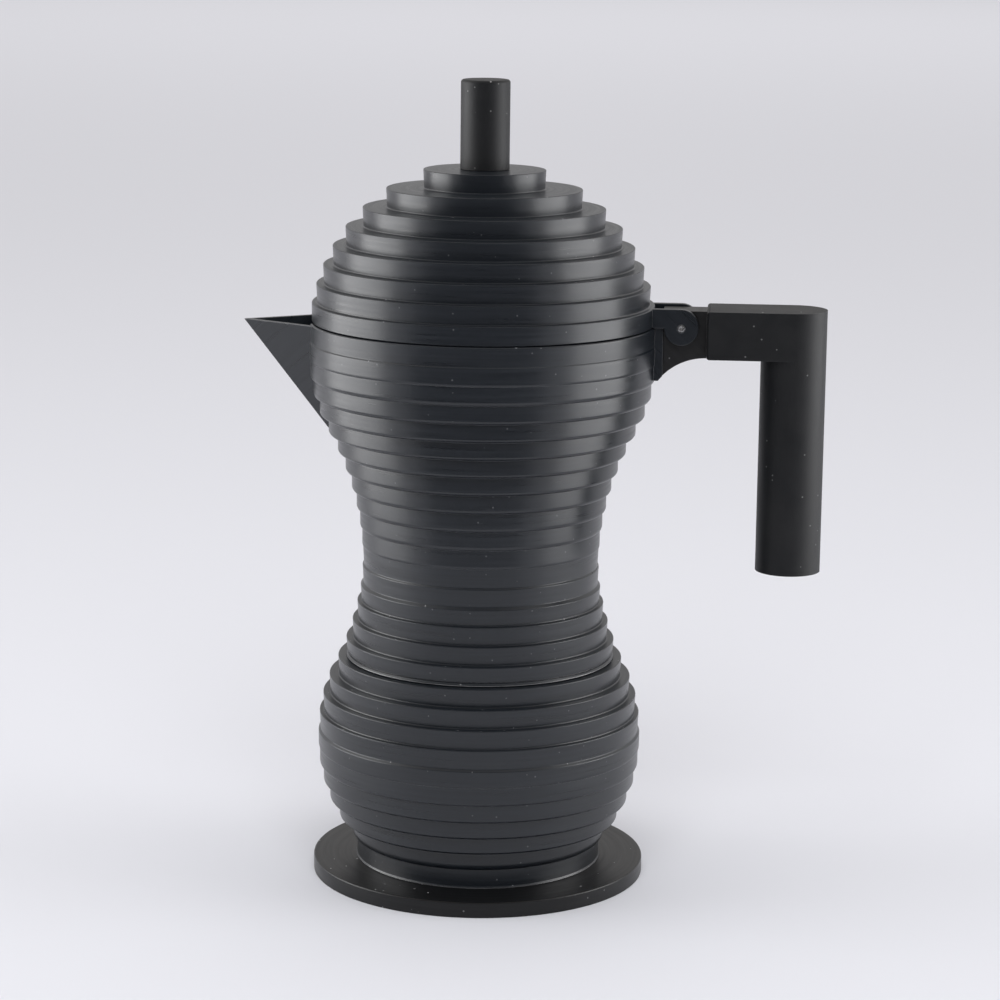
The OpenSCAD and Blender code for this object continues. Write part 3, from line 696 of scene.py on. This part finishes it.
boolean(barrel, rod("steam_hole", STEAM_R, -VALVE_SHANK - 2, barrel_end))
install(aim_at_y(barrel, valve_z, valve_seat), "valve_body", "base", brass)

plunger = turned("valve_plunger", rounded([
    (0, plug_z), (PLUG_R, plug_z, 0.3), (PLUG_R, plug_z + PLUG_H, 0.3), (STEM_R, plug_z + PLUG_H, 0.2),
    (STEM_R, barrel_end + STEM_OUT, 0.5), (0, barrel_end + STEM_OUT),
]), 48)
install(aim_at_y(plunger, valve_z, valve_seat), "valve_pin", "valve_pin", steel)

wire = [(WIRE_D / 2 * math.cos(a), WIRE_D / 2 * math.sin(a))
        for a in (2 * math.pi * k / WIRE_SIDES for k in range(WIRE_SIDES))]
spring_z = plug_z + PLUG_H
spring_room = spring_end - spring_z - WIRE_D - 2 * WIRE_GAP
spring = helix("valve_coil", (PLUG_R + STEM_R) / 2 + 0.1, spring_z + WIRE_D / 2 + WIRE_GAP,
               spring_room / SPRING_COILS, SPRING_COILS, wire, steps=28)
aim_at_y(spring, valve_z, valve_seat)
install(spring, "valve_spring", "base", steel)
lift = [j for j in frame["joints"] if j["name"] == "valve_lift"][0]["range_m"][1]
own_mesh(spring)

cap = turned("valve_end_cap", rounded([
    (STEM_R + SEAT_GAP, spring_end, 0.2), (VALVE_BORE_R, spring_end, 0.1),
    (VALVE_BORE_R, barrel_end, 0.15), (STEM_R + SEAT_GAP, barrel_end, 0.3),
]), 64)
install(aim_at_y(cap, valve_z, valve_seat), "valve_cap", "base", brass)


# ---------------------------------------------------------------------------------------
# Funnel. A basket for the coffee, drawn and spun from sheet aluminium, with a tube down into
# the water. A loose strainer lies on the shelf at the basket's bottom.
# ---------------------------------------------------------------------------------------
cast_aluminium = bare_metal("cast_aluminium", (0.62, 0.63, 0.64), (0.52, 0.53, 0.54), 0.36, 1800.0, 0.9)

FUNNEL_T = 1.2
BASKET_DEPTH = 22.0
SHELF_W = 2.4
CONE_H = 12.0
TUBE_R = 5.0
BASKET_GAP = 0.3
HOLE_R = 0.55
HOLE_PITCH = 3.0
HOLE_SIDES = 10


def perforate(sheet, reach, z0, z1):
    """Pierces rings of small round holes through a sheet, out to radius reach."""
    points, faces = [], []
    sides = HOLE_SIDES
    for ring in range(int(reach / HOLE_PITCH) + 1):
        for turn in range(max(1, 6 * ring)):
            angle = 2 * math.pi * turn / max(1, 6 * ring)
            x, y = ring * HOLE_PITCH * math.cos(angle), ring * HOLE_PITCH * math.sin(angle)
            first = len(points)
            for z in (z0, z1):
                for k in range(sides):
                    a = 2 * math.pi * k / sides
                    points.append((x + HOLE_R * math.cos(a), y + HOLE_R * math.sin(a), z))
            for k in range(sides):
                n = (k + 1) % sides
                faces.append([first + k, first + n, first + sides + n, first + sides + k])
            faces.append([first + k for k in range(sides)][::-1])
            faces.append([first + sides + k for k in range(sides)])
    return boolean(sheet, make("holes", points, faces))


funnel_low, funnel_high = span("funnel")
flange_r, flange_top = funnel_high.x, funnel_high.z
tube_z = funnel_low.z
basket_r = neck_bore_r - BASKET_GAP
basket_in_r = basket_r - FUNNEL_T
basket_z = flange_top - BASKET_DEPTH
cone_z = basket_z - CONE_H
funnel = turned("funnel_sheet", rounded([
    (basket_in_r, flange_top, 0.9), (basket_in_r, basket_z, 0.8), (basket_in_r - SHELF_W, basket_z, 0.5),
    (TUBE_R - FUNNEL_T, cone_z, 2.5), (TUBE_R - FUNNEL_T, tube_z, 0.3), (TUBE_R, tube_z, 0.3),
    (TUBE_R, cone_z - FUNNEL_T / 2, 2.5), (basket_r, basket_z - FUNNEL_T, 1.8),
    (basket_r, neck_top + SEAT_GAP, 0.3), (flange_r, neck_top + SEAT_GAP, 0.3), (flange_r, flange_top, 0.4),
]))
install(funnel, "funnel", "funnel", cast_aluminium)

SHEET_T = 0.8
STRAINER_GAP = 0.1
strainer_r = basket_in_r - STRAINER_GAP
strainer_top = basket_z + SHEET_T
strainer = turned("funnel_screen", rounded([
    (0, basket_z), (strainer_r, basket_z, 0.2), (strainer_r, strainer_top, 0.2), (0, strainer_top),
]), 96)
perforate(strainer, strainer_r - SHELF_W - 1, basket_z - 1, strainer_top + 1)
install(strainer, "funnel_strainer", "funnel", cast_aluminium)


# ---------------------------------------------------------------------------------------
# Gasket and filter plate. The gasket is a flat ring of soft pale silicone that seals the
# joint. The filter plate is a pierced aluminium dish held inside it, under the upper body.
# ---------------------------------------------------------------------------------------
def soft_seal(name, colour, stain):
    """Silicone: dull, a little uneven, stained where coffee has reached it."""
    paint, tree, shader = new_paint(name)
    shader.inputs["Roughness"].default_value = 0.55
    shader.inputs["Specular IOR Level"].default_value = 0.35
    grain = place_effect(tree, fine_grain, Fineness=1500.0)
    tone = blend_colour(tree, ramp(tree, grain["Mottle"], (0.40, 0.0), (0.72, 1.0)), colour, stain)
    tree.links.new(tone, shader.inputs["Base Color"])
    raise_skin(tree, shader, grain["Height"], 0.00002)
    return paint


seal = soft_seal("seal", (0.76, 0.74, 0.68), (0.55, 0.46, 0.36))
GASKET_W = 5.6
gasket_low, gasket_high = span("gasket")
gasket_r, gasket_z, gasket_top = gasket_high.x, gasket_low.z, gasket_high.z
gasket_bore_r = gasket_r - GASKET_W
gasket = turned("seal_ring", rounded([
    (gasket_r, gasket_z, 0.6), (gasket_r, gasket_top, 0.6),
    (gasket_bore_r, gasket_top, 0.6), (gasket_bore_r, gasket_z, 0.6),
]))
install(gasket, "gasket", "seal", seal)

filter_low, filter_high = span("filter_plate")
filter_r, filter_z, rim_top = filter_high.x, filter_low.z, filter_high.z
dish = turned("filter_screen", rounded([
    (0, filter_z), (filter_r, filter_z, 0.9), (filter_r, rim_top, 0.2), (filter_r - SHEET_T, rim_top, 0.2),
    (filter_r - SHEET_T, filter_z + SHEET_T, 0.4), (0, filter_z + SHEET_T),
]))
perforate(dish, filter_r - SHEET_T - 1.5, filter_z - 1, filter_z + SHEET_T + 1)
install(dish, "filter_plate", "filter", cast_aluminium)


# ---------------------------------------------------------------------------------------
# Upper body. One aluminium casting with the V spout and the boss for the hinge cast on, and
# eighteen turned rings, coated like the boiler. A threaded skirt screws down onto the neck.
# ---------------------------------------------------------------------------------------
BODY_RINGS = 18
BODY_FLOOR_T = 5.0
SPIGOT_R = 4.7
DISH_RISE = 2.0
SPOUT_OUT = 21.5
SPOUT_LOW = 0.6
SPOUT_HALF = math.radians(31.0)
SPOUT_DROP = math.radians(52.1)
SPOUT_T = 1.4
SPOUT_ROOT = 6.0
SPOUT_RINGS = 12.5
SPOUT_REACH = 60
SPOUT_LENGTH = 90
SPOUT_FOOT_Z = 90
NOTCH_STOP = 12.4
PAD_HALF = 6.5
PAD_DROP = 0.385
CAST_EDGE = 0.35
BRACKET_ARC_R = 19.0
BRACKET_BELOW = 15.3
RIM_RELIEF = 0.4
SKIRT_THREAD_BELOW = 12.2
SKIRT_COILS = 3.3
SCREWS_BELOW_RIM = (11.15, 4.55)
SCREW_R = 1.5
HEAD_R = 2.8
HEAD_H = 1.8
SCREW_CLEAR = 0.2

body_z = span("collector")[0].z
body_top = body_z + BODY_RINGS * RING_H
floor_z = gasket_top + SEAT_GAP
floor_top = floor_z + BODY_FLOOR_T
rim_inner_r = pot_radius(body_top) - WALL


def prism(name, outline, low, high, place):
    """A flat outline pushed out between two distances. Place turns (a, b, distance) to x, y, z."""
    count = len(outline)
    points = [place(a, b, d) for d in (low, high) for a, b in outline]
    faces = [[k, (k + 1) % count, count + (k + 1) % count, count + k] for k in range(count)]
    faces += [list(range(count))[::-1], [count + k for k in range(count)]]
    return make(name, points, faces)


def soften(piece, width, parts, chosen=lambda a, b: True, sharp=40):
    """Rounds the hard edges of a piece whose two ends, in millimetres, are chosen."""
    work = bmesh.new()
    work.from_mesh(piece.data)
    hard = [
        e for e in work.edges
        if len(e.link_faces) == 2 and e.calc_face_angle() > math.radians(sharp)
        and chosen(e.verts[0].co / MM, e.verts[1].co / MM)
    ]
    bmesh.ops.bevel(work, geom=hard, offset=width * MM, segments=parts, profile=0.5, affect="EDGES",
                    clamp_overlap=True)
    work.to_mesh(piece.data)
    work.free()
    return piece


def circle_arc(x, z, r, start, end, count):
    """Points on a round arc between two angles in degrees."""
    angles = [math.radians(start + (end - start) * k / count) for k in range(count + 1)]
    return [(x + r * math.cos(a), z + r * math.sin(a)) for a in angles]


def lengthwise(a, b, d):
    """Outline in x and z, pushed out along y."""
    return (a, d, b)


rings, radii = ring_corners(body_z, BODY_RINGS)
SEAM_LIP_H = 1.0
SEAM_DEEP = 0.75
lip_top = body_z + SEAM_LIP_H
upper = turned("upper_casting", rounded(
    [(skirt_r, body_z, 0.5), (radii[0], body_z, 0.15, 0.3), (radii[0] - 0.05, body_z + 0.3, 0.2),
     (radii[0] - 0.5, lip_top - 0.1, 0.05), (radii[0] - SEAM_DEEP, lip_top, 0.05),
     (radii[0] - SEAM_DEEP, lip_top + 0.2, 0.05), (radii[0] - DRAFT, lip_top + 0.3, 0.1)]
    + rings
    + [(radii[-1], body_top, 0.5), (SPIGOT_R, body_top), (SPIGOT_R, floor_z + DISH_RISE, 0.3),
       (gasket_bore_r - 2, floor_z, 0.5), (skirt_r, floor_z, 0.2)]
))

# The spout's two walls meet in a keel that runs down from the tip to the waist
tip = Vector((-(SPHERE_R + SPOUT_OUT), 0, body_top - SPOUT_LOW))
keel_half = math.atan(math.tan(SPOUT_HALF) / math.sin(SPOUT_DROP))
keel_way = Vector((math.cos(SPOUT_DROP), 0, -math.sin(SPOUT_DROP)))
keel_side = Vector((-math.sin(SPOUT_DROP), 0, -math.cos(SPOUT_DROP)))


def spout_wedge(name, inset, x1, z1):
    """The solid between the spout's walls, moved in by inset, cut off at x1 and z1."""
    start = -inset / math.sin(keel_half)
    back = start - SPOUT_REACH * math.cos(keel_half)
    side = SPOUT_REACH * math.sin(keel_half)
    outline = [(start, 0), (back, side), (back, -side)]

    def along_keel(a, b, d):
        return tip + keel_side * a + Vector((0, b, 0)) + keel_way * d

    wedge = prism(name, outline, -SPOUT_REACH, SPOUT_LENGTH, along_keel)
    corners = [(tip.x - 1, SPOUT_FOOT_Z), (x1, SPOUT_FOOT_Z), (x1, z1), (tip.x - 1, z1)]
    block = prism("limits", corners, -2 * CLEAR, 2 * CLEAR, lengthwise)
    return boolean(wedge, block, "INTERSECT")


spout_end = SPOUT_ROOT - pot_radius(body_z + SPOUT_RINGS * RING_H)
spout = spout_wedge("spout_walls", 0, spout_end, tip.z)
soften(spout, CAST_EDGE, 3, lambda a, b: min(a.x, b.x) < -50 and abs(a.y) + abs(b.y) < 0.01)
soften(spout, 0.25, 2, lambda a, b: min(a.z, b.z) > tip.z - 0.02 and abs(a.y) + abs(b.y) > 0.1)
boolean(upper, spout, "UNION")

bracket_low, bracket_high = span("hinge_bracket")
handle_low, handle_high = span("handle")
handle_x = handle_low.x
pad_x = bracket_low.x
bracket_z = handle_high.z - BRACKET_BELOW
arc_z = bracket_z - BRACKET_ARC_R
seat_x = span("bracket_screws")[0].x + HEAD_H


def under_bracket(x0, x1):
    """The hollow arc under the hinge bracket, between two distances from the axis."""
    reach = [min((handle_x - x) / BRACKET_ARC_R, 1.0) for x in (x0, x1)]
    ends = [180 - math.degrees(math.acos(s)) for s in reach]
    return circle_arc(handle_x, arc_z, BRACKET_ARC_R, ends[0], ends[1], 32)


pad_low = bracket_z - PAD_DROP * BRACKET_ARC_R
root_x = handle_x - math.sqrt(BRACKET_ARC_R ** 2 - (pad_low - arc_z) ** 2)
pad = prism("hinge_boss", [(seat_x - 1, pad_low)] + under_bracket(root_x, pad_x)
            + [(pad_x, body_top), (seat_x - 1, body_top)], -PAD_HALF, PAD_HALF, lengthwise)
soften(pad, CAST_EDGE, 3, lambda a, b: min(a.x, b.x) > seat_x)
boolean(upper, pad, "UNION")

chamber = turned("chamber", rounded(
    [(0, body_top + 2), (rim_inner_r + RIM_RELIEF, body_top + 2),
     (rim_inner_r + RIM_RELIEF, body_top - 0.05, 0.1),
     (rim_inner_r, body_top - 0.5, 0.3)]
    + [(r, z, 0) for r, z in lining(floor_top, body_top, 24)][1:-1]
    + [(pot_radius(floor_top) - WALL, floor_top, 2.0), (0, floor_top)]
))
boolean(upper, chamber)
boolean(upper, spout_wedge("pouring_notch", SPOUT_T, -NOTCH_STOP, body_top + 2))
boolean(upper, helix(
    "skirt_thread", skirt_r, neck_top - SKIRT_THREAD_BELOW, THREAD_PITCH, SKIRT_COILS,
    [(-out, up) for out, up in THREAD_SECTION], run_out=-THREAD_RUN_OUT,
))
screw_levels = [body_top - below for below in SCREWS_BELOW_RIM]
along_x = Matrix.Rotation(math.radians(90), 4, "Y")


def aim_at_x(piece, x, z):
    """Lays a piece made along +Z down along +X, with its foot at distance x and height z."""
    piece.data.transform(Matrix.Translation(Vector((x, 0, z)) * MM) @ along_x)
    return piece


for level in screw_levels:
    boolean(upper, aim_at_x(rod("screw_hole", SCREW_R, 0, pad_x + 1), 0, level))
    boolean(upper, aim_at_x(rod("screw_seat", HEAD_R + SCREW_CLEAR, 0, seat_x), 0, level))
install(upper, "collector", "top", body_coat)


# ---------------------------------------------------------------------------------------
# Column and cap. The bare cast pipe that the coffee rises through, pressed into the floor of
# the upper body, and the slotted cap on its end that turns the coffee down and sideways.
# ---------------------------------------------------------------------------------------
COLUMN_FOOT_R = 6.4
COLUMN_TOP_R = 5.0
COLUMN_BORE_R = 3.2
FLANGE_W = 2.0
FLANGE_H = 2.0
CAP_SKIRT_H = 7.0
CAP_WALL = 1.4
CAP_SHOULDER = 0.6
WINDOW_W = 4.6

column_end = span("column")[1].z
cap_top = span("column_cap")[1].z
cap_z = column_end - CAP_SKIRT_H
column_flange_r = COLUMN_FOOT_R + FLANGE_W
column = turned("riser_column", rounded([
    (COLUMN_BORE_R, floor_z + DISH_RISE), (SPIGOT_R, floor_z + DISH_RISE), (SPIGOT_R, floor_top),
    (column_flange_r, floor_top, 0.1), (column_flange_r, floor_top + FLANGE_H, 0.8),
    (COLUMN_FOOT_R, floor_top + FLANGE_H, 1.2), (COLUMN_TOP_R, cap_z - 2, 1.0),
    (COLUMN_TOP_R, column_end, 0.3),
    (COLUMN_BORE_R, column_end, 0.4),
]), 96)
install(column, "column", "top", cast_aluminium)

cap_r = COLUMN_TOP_R + CAP_WALL
riser_cap = turned("riser_cap", rounded([
    (COLUMN_TOP_R, cap_z, 0.3), (cap_r, cap_z, 0.4), (cap_r, cap_top, 1.6), (0, cap_top),
    (0, cap_top - CAP_WALL), (COLUMN_TOP_R - CAP_SHOULDER, cap_top - CAP_WALL, 0.8),
    (COLUMN_TOP_R - CAP_SHOULDER, column_end + 0.1, 0.1), (COLUMN_TOP_R, column_end, 0.1),
]), 96)
window_low, window_high = column_end + 1, cap_top - CAP_WALL - 1.5
window = [(-WINDOW_W / 2, window_low), (WINDOW_W / 2, window_low),
          (WINDOW_W / 2, window_high), (-WINDOW_W / 2, window_high)]
boolean(riser_cap, prism("cap_windows", window, -CLEAR, CLEAR, lambda a, b, d: (d, a, b)))
install(riser_cap, "column_cap", "top", cast_aluminium)


# ---------------------------------------------------------------------------------------
# Hinge bracket and its screws. A coated block that two screws pull against the boss from
# inside the upper body. It carries the hinge pin, and its tang goes into the handle.
# ---------------------------------------------------------------------------------------
bracket_coat = satin_coat(
    "bracket_coat", (0.006, 0.006, 0.0064), (0.28, 0.28, 0.28), 0.42, 0.5, 1500.0, 0.2, 0.7, 0.8
)
BRACKET_HALF = 5.5
TANG_LEN = 15.0
TANG_H = 8.6
TANG_SHOULDER = 1.2
PIN_R = 1.25
ARM_H = 15.1
SLOT_HALF = 0.4
SCREW_PITCH = 0.5

bracket_top = bracket_high.z
handle_top = handle_high.z
handle_z = handle_top - ARM_H
tang_z = handle_z + (ARM_H - TANG_H) / 2
tang_half = BRACKET_HALF - TANG_SHOULDER
pin_place = [j for j in frame["joints"] if j["name"] == "lid_hinge"][0]["pos_m"]
pin_x, pin_z = pin_place[0] / MM, pin_place[2] / MM
block = prism("hinge_block", under_bracket(pad_x, handle_x)
              + [(handle_x, bracket_top), (pad_x, bracket_top)], -BRACKET_HALF, BRACKET_HALF, lengthwise)
soften(block, CAST_EDGE, 3, lambda a, b: min(a.x, b.x) < handle_x - 0.1)
tang = prism("tang", [(handle_x - 1, tang_z), (handle_x + TANG_LEN, tang_z),
                      (handle_x + TANG_LEN, tang_z + TANG_H), (handle_x - 1, tang_z + TANG_H)],
             -tang_half, tang_half, lengthwise)
boolean(block, tang, "UNION")
boolean(block, aim_at_y(rod("pin_hole", PIN_R, -CLEAR, CLEAR), pin_z, 0, pin_x))
install(block, "hinge_bracket", "top", bracket_coat)


def pan_screw(name, shank_end, head_h, slot_deep, thread_from):
    """A slotted pan-head screw. Its shank runs up +Z from under the head, which is below 0."""
    screw = turned(name, rounded([
        (0, -head_h), (HEAD_R, -head_h, 0.7), (HEAD_R, 0, 0.15), (SCREW_R, 0, 0.2),
        (SCREW_R, shank_end, 0.5), (0, shank_end),
    ]), 48)
    slot = [(-SLOT_HALF, -head_h - 1), (SLOT_HALF, -head_h - 1),
            (SLOT_HALF, slot_deep - head_h), (-SLOT_HALF, slot_deep - head_h)]
    boolean(screw, prism("slot", slot, -HEAD_R - 1, HEAD_R + 1, lengthwise))
    coils = (shank_end - thread_from - 0.6) / SCREW_PITCH
    cutter = helix("screw_thread", SCREW_R, thread_from, SCREW_PITCH, coils,
                   [(0.2, -0.2), (0.2, 0.2), (-0.28, 0.03), (-0.28, -0.03)], steps=20, run_out=0.3)
    return boolean(screw, cutter)


bracket_screw_end = span("bracket_screws")[1].x - seat_x
screws = [aim_at_x(pan_screw("hinge_block_screws", bracket_screw_end, HEAD_H, 0.9, 4.0), seat_x, level)
          for level in screw_levels]
boolean(screws[0], screws[1], "UNION")
install(screws[0], "bracket_screws", "top", steel)


# ---------------------------------------------------------------------------------------
# Lid. A hollow aluminium dome of eight turned rings, coated like the body. Two ears on its
# edge take the hinge pin, and a short lip drops inside the rim of the upper body.
# ---------------------------------------------------------------------------------------
LID_RINGS = 8
LIP_DROP = 1.8
LIP_T = 1.6
EAR_R = 5.35
EAR_T = 2.4
EAR_GAP = 0.15
EAR_ROOT = 2.5
LID_GAP = 0.2
LIP_CLEAR = 0.4

lid_z = body_top + LID_GAP
ear_top = lid_z + RING_H
lip_r = rim_inner_r - LIP_CLEAR
lid_in_r = SPHERE_R - WALL
crown_in = span("knob_washer")[1].z
hole_r = SCREW_R + SCREW_CLEAR
dome_low = math.asin((lid_z + 2 - sphere_z) / lid_in_r)
dome_high = math.asin((crown_in - sphere_z) / lid_in_r)
dome = [(lid_in_r * math.cos(a), sphere_z + lid_in_r * math.sin(a), 0)
        for a in (dome_low + (dome_high - dome_low) * i / 24 for i in range(24, -1, -1))]
rings, radii = ring_corners(lid_z, LID_RINGS)
lid = turned("lid_dome", rounded(
    [(lip_r - LIP_T, lid_z - LIP_DROP, 0.3), (lip_r, lid_z - LIP_DROP, 0.4), (lip_r, lid_z, 0.2),
     (radii[0], lid_z, 0.3)]
    + rings
    + [(radii[-1], lid_top, 0.28), (hole_r, lid_top), (hole_r, crown_in)]
    + dome
    + [(lip_r - LIP_T, lid_z + 2, 0.3)]
))
ear_in = BRACKET_HALF + EAR_GAP
ear_out = ear_in + EAR_T
raised = ear_top - EAR_R
ear = (
    [(radii[0] - EAR_ROOT, pin_z)] + circle_arc(pin_x, pin_z, EAR_R, 180, 360, 24)
    + circle_arc(pin_x, raised, EAR_R, 0, 90, 12) + [(radii[0] - EAR_ROOT, ear_top)]
)
for low, high in ((-ear_out, -ear_in), (ear_in, ear_out)):
    lug = prism("hinge_ear", ear, low, high, lengthwise)
    soften(lug, 0.3, 3)
    boolean(lid, lug, "UNION")
boolean(lid, aim_at_y(rod("pin_bore", PIN_R + SEAT_GAP, -CLEAR, CLEAR), pin_z, 0, pin_x))
install(lid, "lid", "lid", body_coat)


# ---------------------------------------------------------------------------------------
# Hinge pin. A rolled steel pin, hollow, pressed through the bracket. The lid's ears turn on
# its two ends.
# ---------------------------------------------------------------------------------------
pin_steel = bare_metal("pin_steel", (0.66, 0.66, 0.65), (0.50, 0.50, 0.50), 0.24, 4000.0, 0.2)

PIN_BORE_R = 0.6
PIN_SINK = 0.2
pin_end = ear_out - PIN_SINK
pin = turned("rolled_pin", rounded([
    (PIN_BORE_R, -pin_end, 0.1), (PIN_R, -pin_end, 0.3), (PIN_R, pin_end, 0.3), (PIN_BORE_R, pin_end, 0.1),
]), 64)
install(aim_at_y(pin, pin_z, 0, pin_x), "hinge_pin", "top", pin_steel)


# ---------------------------------------------------------------------------------------
# Handle. One matte black moulding: a flat arm with a half-round end, and a straight round
# grip that hangs from it, flush with the arm. A screw from below holds it on the tang.
# ---------------------------------------------------------------------------------------
def moulded_plastic(name, colour, lighter, roughness, fineness):
    """Matte moulding with a fine spark-eroded grain, a little polished at its edges."""
    paint, tree, shader = new_paint(name)
    shader.inputs["Specular IOR Level"].default_value = 0.32
    grain = place_effect(tree, fine_grain, Fineness=fineness)
    edges = place_effect(tree, edge_wear_and_highlight, Reach=0.0004, Amount=0.6)
    specks = place_effect(tree, settled_dust, Amount=0.8)
    tone = blend_colour(tree, ramp(tree, grain["Mottle"], (0.35, 0.0), (0.70, 1.0)), colour, lighter)
    # Painted highlight: corners, convex and hollow, are lightened towards a pale grey, partly as rubbed
    # plastic
    tone = blend_colour(tree, edges["Mask"], tone, tuple(5 * c for c in lighter))
    tone = blend_colour(tree, specks["Mask"], tone, (0.5, 0.5, 0.5))
    tree.links.new(tone, shader.inputs["Base Color"])
    dull = put(tree, "MapRange", ("Value", grain["Mottle"]), ("From Min", 0.3), ("From Max", 0.7),
               ("To Min", roughness - 0.04), ("To Max", roughness + 0.05)).outputs[0]
    tree.links.new(calc(tree, "MULTIPLY_ADD", edges["Mask"], -0.12, dull), shader.inputs["Roughness"])
    raise_skin(tree, shader, grain["Height"], 0.00004)
    return paint


black_plastic = moulded_plastic(
    "black_plastic", (0.0075, 0.0082, 0.0095), (0.013, 0.0135, 0.0145), 0.5, 3400.0
)

EDGE_ROUND = 0.6
JOINT_ROUND = 0.9
SOCKET_GAP = 0.15
SOCKET_END = 0.4
SCREW_SUNK = 1.4
GRIP_SIDES = 96
grip_r = handle_high.y
grip_x = handle_high.x - grip_r
grip_z = handle_low.z
half_turn = GRIP_SIDES // 2
right = [(grip_x + grip_r * math.sin(math.pi * k / half_turn), -grip_r * math.cos(math.pi * k / half_turn))
         for k in range(half_turn + 1)]
left = [(2 * grip_x - x, y) for x, y in right[1:-1]]
front = [(handle_x, grip_r), (handle_x, -grip_r)]
points = [(x, y, handle_top) for x, y in right + front]
points += [(x, y, handle_z) for x, y in right + front]
points += [(x, y, handle_z) for x, y in left]
points += [(x, y, grip_z) for x, y in right + left[::-1]]
arm = len(right) + 2
hollow = 2 * arm
foot = hollow + len(left)
faces = [list(range(arm))]
for k in range(arm):
    n = (k + 1) % arm
    faces.append([k, n, arm + n, arm + k])
inner = [arm] + [hollow + k for k in range(len(left))] + [arm + half_turn]
outer = [arm + k for k in range(half_turn + 1)]
ring_top = outer + inner[-2:0:-1]
for k in range(GRIP_SIDES):
    n = (k + 1) % GRIP_SIDES
    faces.append([ring_top[k], ring_top[n], foot + n, foot + k])
faces.append([foot + k for k in range(GRIP_SIDES)][::-1])
faces.append([arm + half_turn, arm + half_turn + 1, arm + half_turn + 2] + inner[:-1])
handle = make("handle_moulding", points, faces)
soften(handle, JOINT_ROUND, 4, lambda a, b: max(a.x, b.x) < handle_x + 0.1)
soften(handle, EDGE_ROUND, 4, lambda a, b: (a - b).length > 2.5 or max(a.x, b.x) > handle_x + 2)
socket_end = handle_x + TANG_LEN + SOCKET_END
socket_low, socket_high = tang_z - SOCKET_GAP, tang_z + TANG_H + SOCKET_GAP
boolean(handle, prism(
    "tang_socket",
    [(handle_x - 1, socket_low), (socket_end, socket_low),
     (socket_end, socket_high), (handle_x - 1, socket_high)],
    -tang_half - SOCKET_GAP, tang_half + SOCKET_GAP, lengthwise,
))
screw_x = handle_x + TANG_LEN / 2
head_z = handle_z + SCREW_SUNK


def upright(piece, x, z=0.0):
    """Moves a piece made on the pot's axis to the distance x and the height z."""
    piece.data.transform(Matrix.Translation(Vector((x, 0, z)) * MM))
    return piece


screw_way = rod("screw_way", SCREW_R + SCREW_CLEAR, handle_z - 1, handle_z + ARM_H / 2)
boolean(handle, upright(screw_way, screw_x))
boolean(handle, upright(rod("screw_sink", HEAD_R + SCREW_CLEAR, handle_z - 1, head_z), screw_x))
install(handle, "handle", "top", black_plastic)

handle_screw = pan_screw("handle_screw_steel", tang_z + TANG_H - head_z, 1.2, 0.6, 4.0)
install(upright(handle_screw, screw_x, head_z), "handle_screw", "top", steel)


# ---------------------------------------------------------------------------------------
# Knob. A straight round rod in the handle's plastic, moulded on a threaded brass insert. A
# screw and a washer from inside the lid pull it down onto the dome.
# ---------------------------------------------------------------------------------------
INSERT_R = 3.2
INSERT_H = 12.0
INSERT_ROOF = 1.5
WASHER_R = 3.6
WASHER_T = 0.8
knob_r, knob_top = span("knob")[1].x, span("knob")[1].z
knob = turned("knob_rod", rounded([
    (INSERT_R, lid_top), (knob_r, lid_top, 0.25), (knob_r, knob_top, 0.9), (0, knob_top),
    (0, lid_top + INSERT_H), (INSERT_R, lid_top + INSERT_H),
]), 128)
install(knob, "knob", "lid", black_plastic)

bush_roof = lid_top + INSERT_H - INSERT_ROOF
bush = turned("knob_bush", rounded([
    (SCREW_R, lid_top, 0.3), (INSERT_R, lid_top, 0.2), (INSERT_R, lid_top + INSERT_H),
    (0, lid_top + INSERT_H), (0, bush_roof), (SCREW_R, bush_roof),
]), 64)
install(bush, "knob_insert", "lid", brass)

washer_z = crown_in - WASHER_T
knob_screw = pan_screw("knob_lid_screw", span("knob_screw")[1].z - washer_z, HEAD_H, 0.9, 5.0)
install(upright(knob_screw, 0, washer_z), "knob_screw", "lid", steel)

washer = turned("knob_spacer", rounded([
    (hole_r, washer_z, 0.1), (WASHER_R, washer_z, 0.25), (WASHER_R, crown_in, 0.1), (hole_r, crown_in, 0.1),
]), 64)
install(washer, "knob_washer", "lid", steel)
